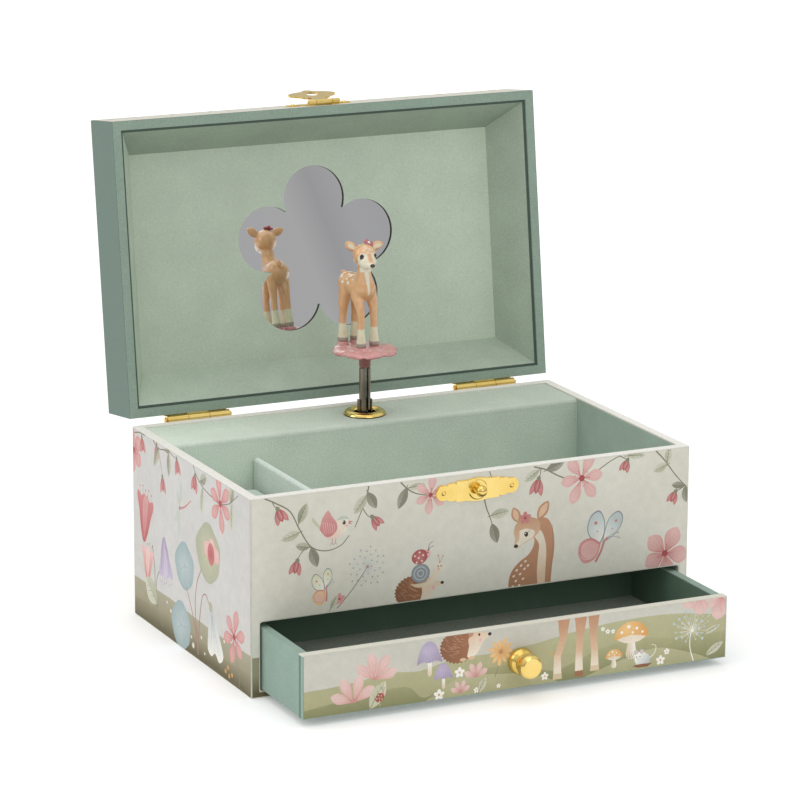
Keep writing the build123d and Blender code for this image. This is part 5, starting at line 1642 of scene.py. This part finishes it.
def hair_flower():
    low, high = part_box("hair_flower")
    cx, cy = (low.x + high.x) / 2 / MM, (low.y + high.y) / 2 / MM
    cz = (low.z + high.z) / 2 / MM
    shapes = []
    tilt = Matrix.Rotation(math.radians(38), 3, "X") @ Matrix.Rotation(math.radians(14), 3, "Y")
    for k in range(5):
        a = k * math.tau / 5 + 0.3
        v, f = blob((1.15 * math.cos(a), 1.15 * math.sin(a), 0), (1.05, 0.82, 0.5),
                    (0, 0, math.degrees(a)), 8, 14)
        shapes.append(([tilt @ Vector(p) for p in v], f))
    v, f = blob((0, 0, 0.3), (0.62, 0.62, 0.45), (0, 0, 0), 8, 12)
    shapes.append(([tilt @ Vector(p) for p in v], f))
    seat = Vector((cx - sway(0.0, cz), cy, cz))
    obj = merged("hair_blossom", shapes, 0.13, 2, painted_resin, "petals", "figure", seat)
    middle = tilt @ Vector((0, 0, 0.6)) + seat

    def rule(x, y, z, n):
        d = (Vector((x, y, z)) - middle).length
        # painted light: the blossom is lighter on faces turned up
        c = mix(FAWN["rose"], FAWN["petal"], 0.2 + 0.3 * n.z)
        return mix(c, FAWN["white"], smoothstep(0.72, 0.5, d))

    paint_by(obj, rule)
    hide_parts("hair_flower")


fawn()
flower_stand()
hair_flower()


# ---------------------------------------------------------------- cushion


def cushion():
    """The ring pad: five soft rolls with slots between them, in pale velvet."""
    low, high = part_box("ring_cushion")
    x0, x1, y0, y1 = low.x / MM, high.x / MM, low.y / MM, high.y / MM
    z0, z1 = low.z / MM, high.z / MM
    rolls = 5
    depth = (y1 - y0) / rolls
    verts, faces = [], []
    for k in range(rolls):
        a, b = y0 + k * depth + 0.5, y0 + (k + 1) * depth - 0.5
        nx, ny, nz = 14, 8, 10
        index = {}

        def corner(i, j, m):
            key = (i, j, m)
            if key not in index:
                x = x0 + 1.0 + (x1 - x0 - 2.0) * i / nx
                y = a + (b - a) * j / ny
                z = z0 + 0.1 + (z1 - z0 - 1.4) * m / nz
                index[key] = len(verts)
                verts.append((x, y, z))
            return index[key]

        def quad(outward, *keys):
            q = tuple(corner(*key) for key in keys)
            faces.append(q if outward else q[::-1])

        for i in range(nx):
            for j in range(ny):
                for m in (0, nz):
                    quad(m, (i, j, m), (i + 1, j, m), (i + 1, j + 1, m), (i, j + 1, m))
            for m in range(nz):
                for j in (0, ny):
                    quad(not j, (i, j, m), (i + 1, j, m), (i + 1, j, m + 1), (i, j, m + 1))
        for j in range(ny):
            for m in range(nz):
                for i in (0, nx):
                    quad(i, (i, j, m), (i, j + 1, m), (i, j + 1, m + 1), (i, j, m + 1))
    pad = mesh_piece("ring_roll_cushion", verts, faces, "box", "cushion", velvet)
    return pad, (low, high)


PRESSURE, FRAMES = 4.0, 20      # the filling's push, and how long the cloth settles
SWELL = 2.2 * MM                # the furthest a point of the skin moves


def puff(pad, limits):
    """Plumps the rolls, inside the limits of the CAD's cushion."""
    rest = [v.co.copy() for v in pad.data.vertices]
    cloth = pad.modifiers.new("fill", "CLOTH")
    cloth.settings.use_pressure = True
    cloth.settings.uniform_pressure_force = PRESSURE
    cloth.settings.effector_weights.gravity = 0.0
    cloth.settings.quality = 5
    scene = bpy.context.scene
    for f in range(1, FRAMES + 1):
        scene.frame_set(f)
    apply_modifiers(pad)
    scene.frame_set(1)
    for v, r in zip(pad.data.vertices, rest):
        d = v.co - r
        if d.length > SWELL:
            d *= SWELL / d.length
        v.co = r + d
        for axis, (low, high) in enumerate(zip(*limits)):
            v.co[axis] = min(max(v.co[axis], low), high)
    sub = pad.modifiers.new("smooth", "SUBSURF")
    sub.levels = sub.render_levels = 2
    apply_modifiers(pad)
    for face in pad.data.polygons:
        face.use_smooth = True
    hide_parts("ring_cushion")


pad, limits = cushion()
puff(pad, limits)


# -------------------------------------------------------- camera and light

scene = bpy.context.scene
camera = bpy.data.objects.new("camera", bpy.data.cameras.new("camera"))
scene.collection.objects.link(camera)
right = Vector((0.90257, -0.43052, 0.00471))
up = Vector((0.1015, 0.2234, 0.96943))
ahead = Vector((0.41841, 0.8745, -0.24533))
stand = (-0.6044, -1.25549, 0.44168)
camera.matrix_world = Matrix.Translation(stand) @ Matrix((right, up, -ahead)).transposed().to_4x4()
camera.data.sensor_width = 36.0
camera.data.lens = 170.6
camera.data.clip_start = 0.05
camera.data.clip_end = 50.0
scene.camera = camera
scene.view_settings.view_transform = "Standard"
scene.view_settings.look = "None"

floor_mesh = bpy.data.meshes.new("floor")
reach = 6
floor_mesh.from_pydata([(x, y, 0) for x, y in rect(-reach, -reach, reach, reach)], [],
                       [(0, 1, 2, 3)])
floor = bpy.data.objects.new("floor", floor_mesh)
scene.collection.objects.link(floor)
s = Shader("studio_floor", 0.9, Specular_IOR_Level=0.1, Emission_Strength=0.2)
s.bsdf.inputs["Emission Color"].default_value = (1, 1, 1, 1)
s.mottled((0.93, 0.93, 0.93, 1), (0.95, 0.95, 0.95, 1), 4)
floor_mesh.materials.append(s.mat)

world = bpy.data.worlds.new("studio")
scene.world = world
world.use_nodes = True
tree = world.node_tree
sky = tree.nodes.new("ShaderNodeTexCoord")
axes = tree.nodes.new("ShaderNodeSeparateXYZ")
dome = tree.nodes.new("ShaderNodeValToRGB")
tree.links.new(sky.outputs["Generated"], axes.inputs[0])
tree.links.new(axes.outputs["Z"], dome.inputs["Fac"])
tree.links.new(dome.outputs["Color"], tree.nodes["Background"].inputs["Color"])
stops = dome.color_ramp.elements
stops[0].position, stops[0].color = 0.06, (0.37, 0.37, 0.375, 1)
stops[1].position, stops[1].color = 0.55, (0.82, 0.82, 0.82, 1)


def sun(name, place, strength, soft, colour=(1, 1, 1)):
    """A distant soft light that shines from place towards the object."""
    data = bpy.data.lights.new(name, "SUN")
    data.energy = strength
    data.angle = math.radians(soft)
    data.color = colour
    obj = bpy.data.objects.new(name, data)
    scene.collection.objects.link(obj)
    obj.rotation_euler = Vector(place).to_track_quat("Z", "Y").to_euler()


sun("left_back", (-1.6, 0.35, 0.8), 0.38, 30)
sun("front", (0.1, -1.5, 1.0), 0.2, 30)
sun("top", (-0.3, 0.1, 2.0), 0.5, 60)
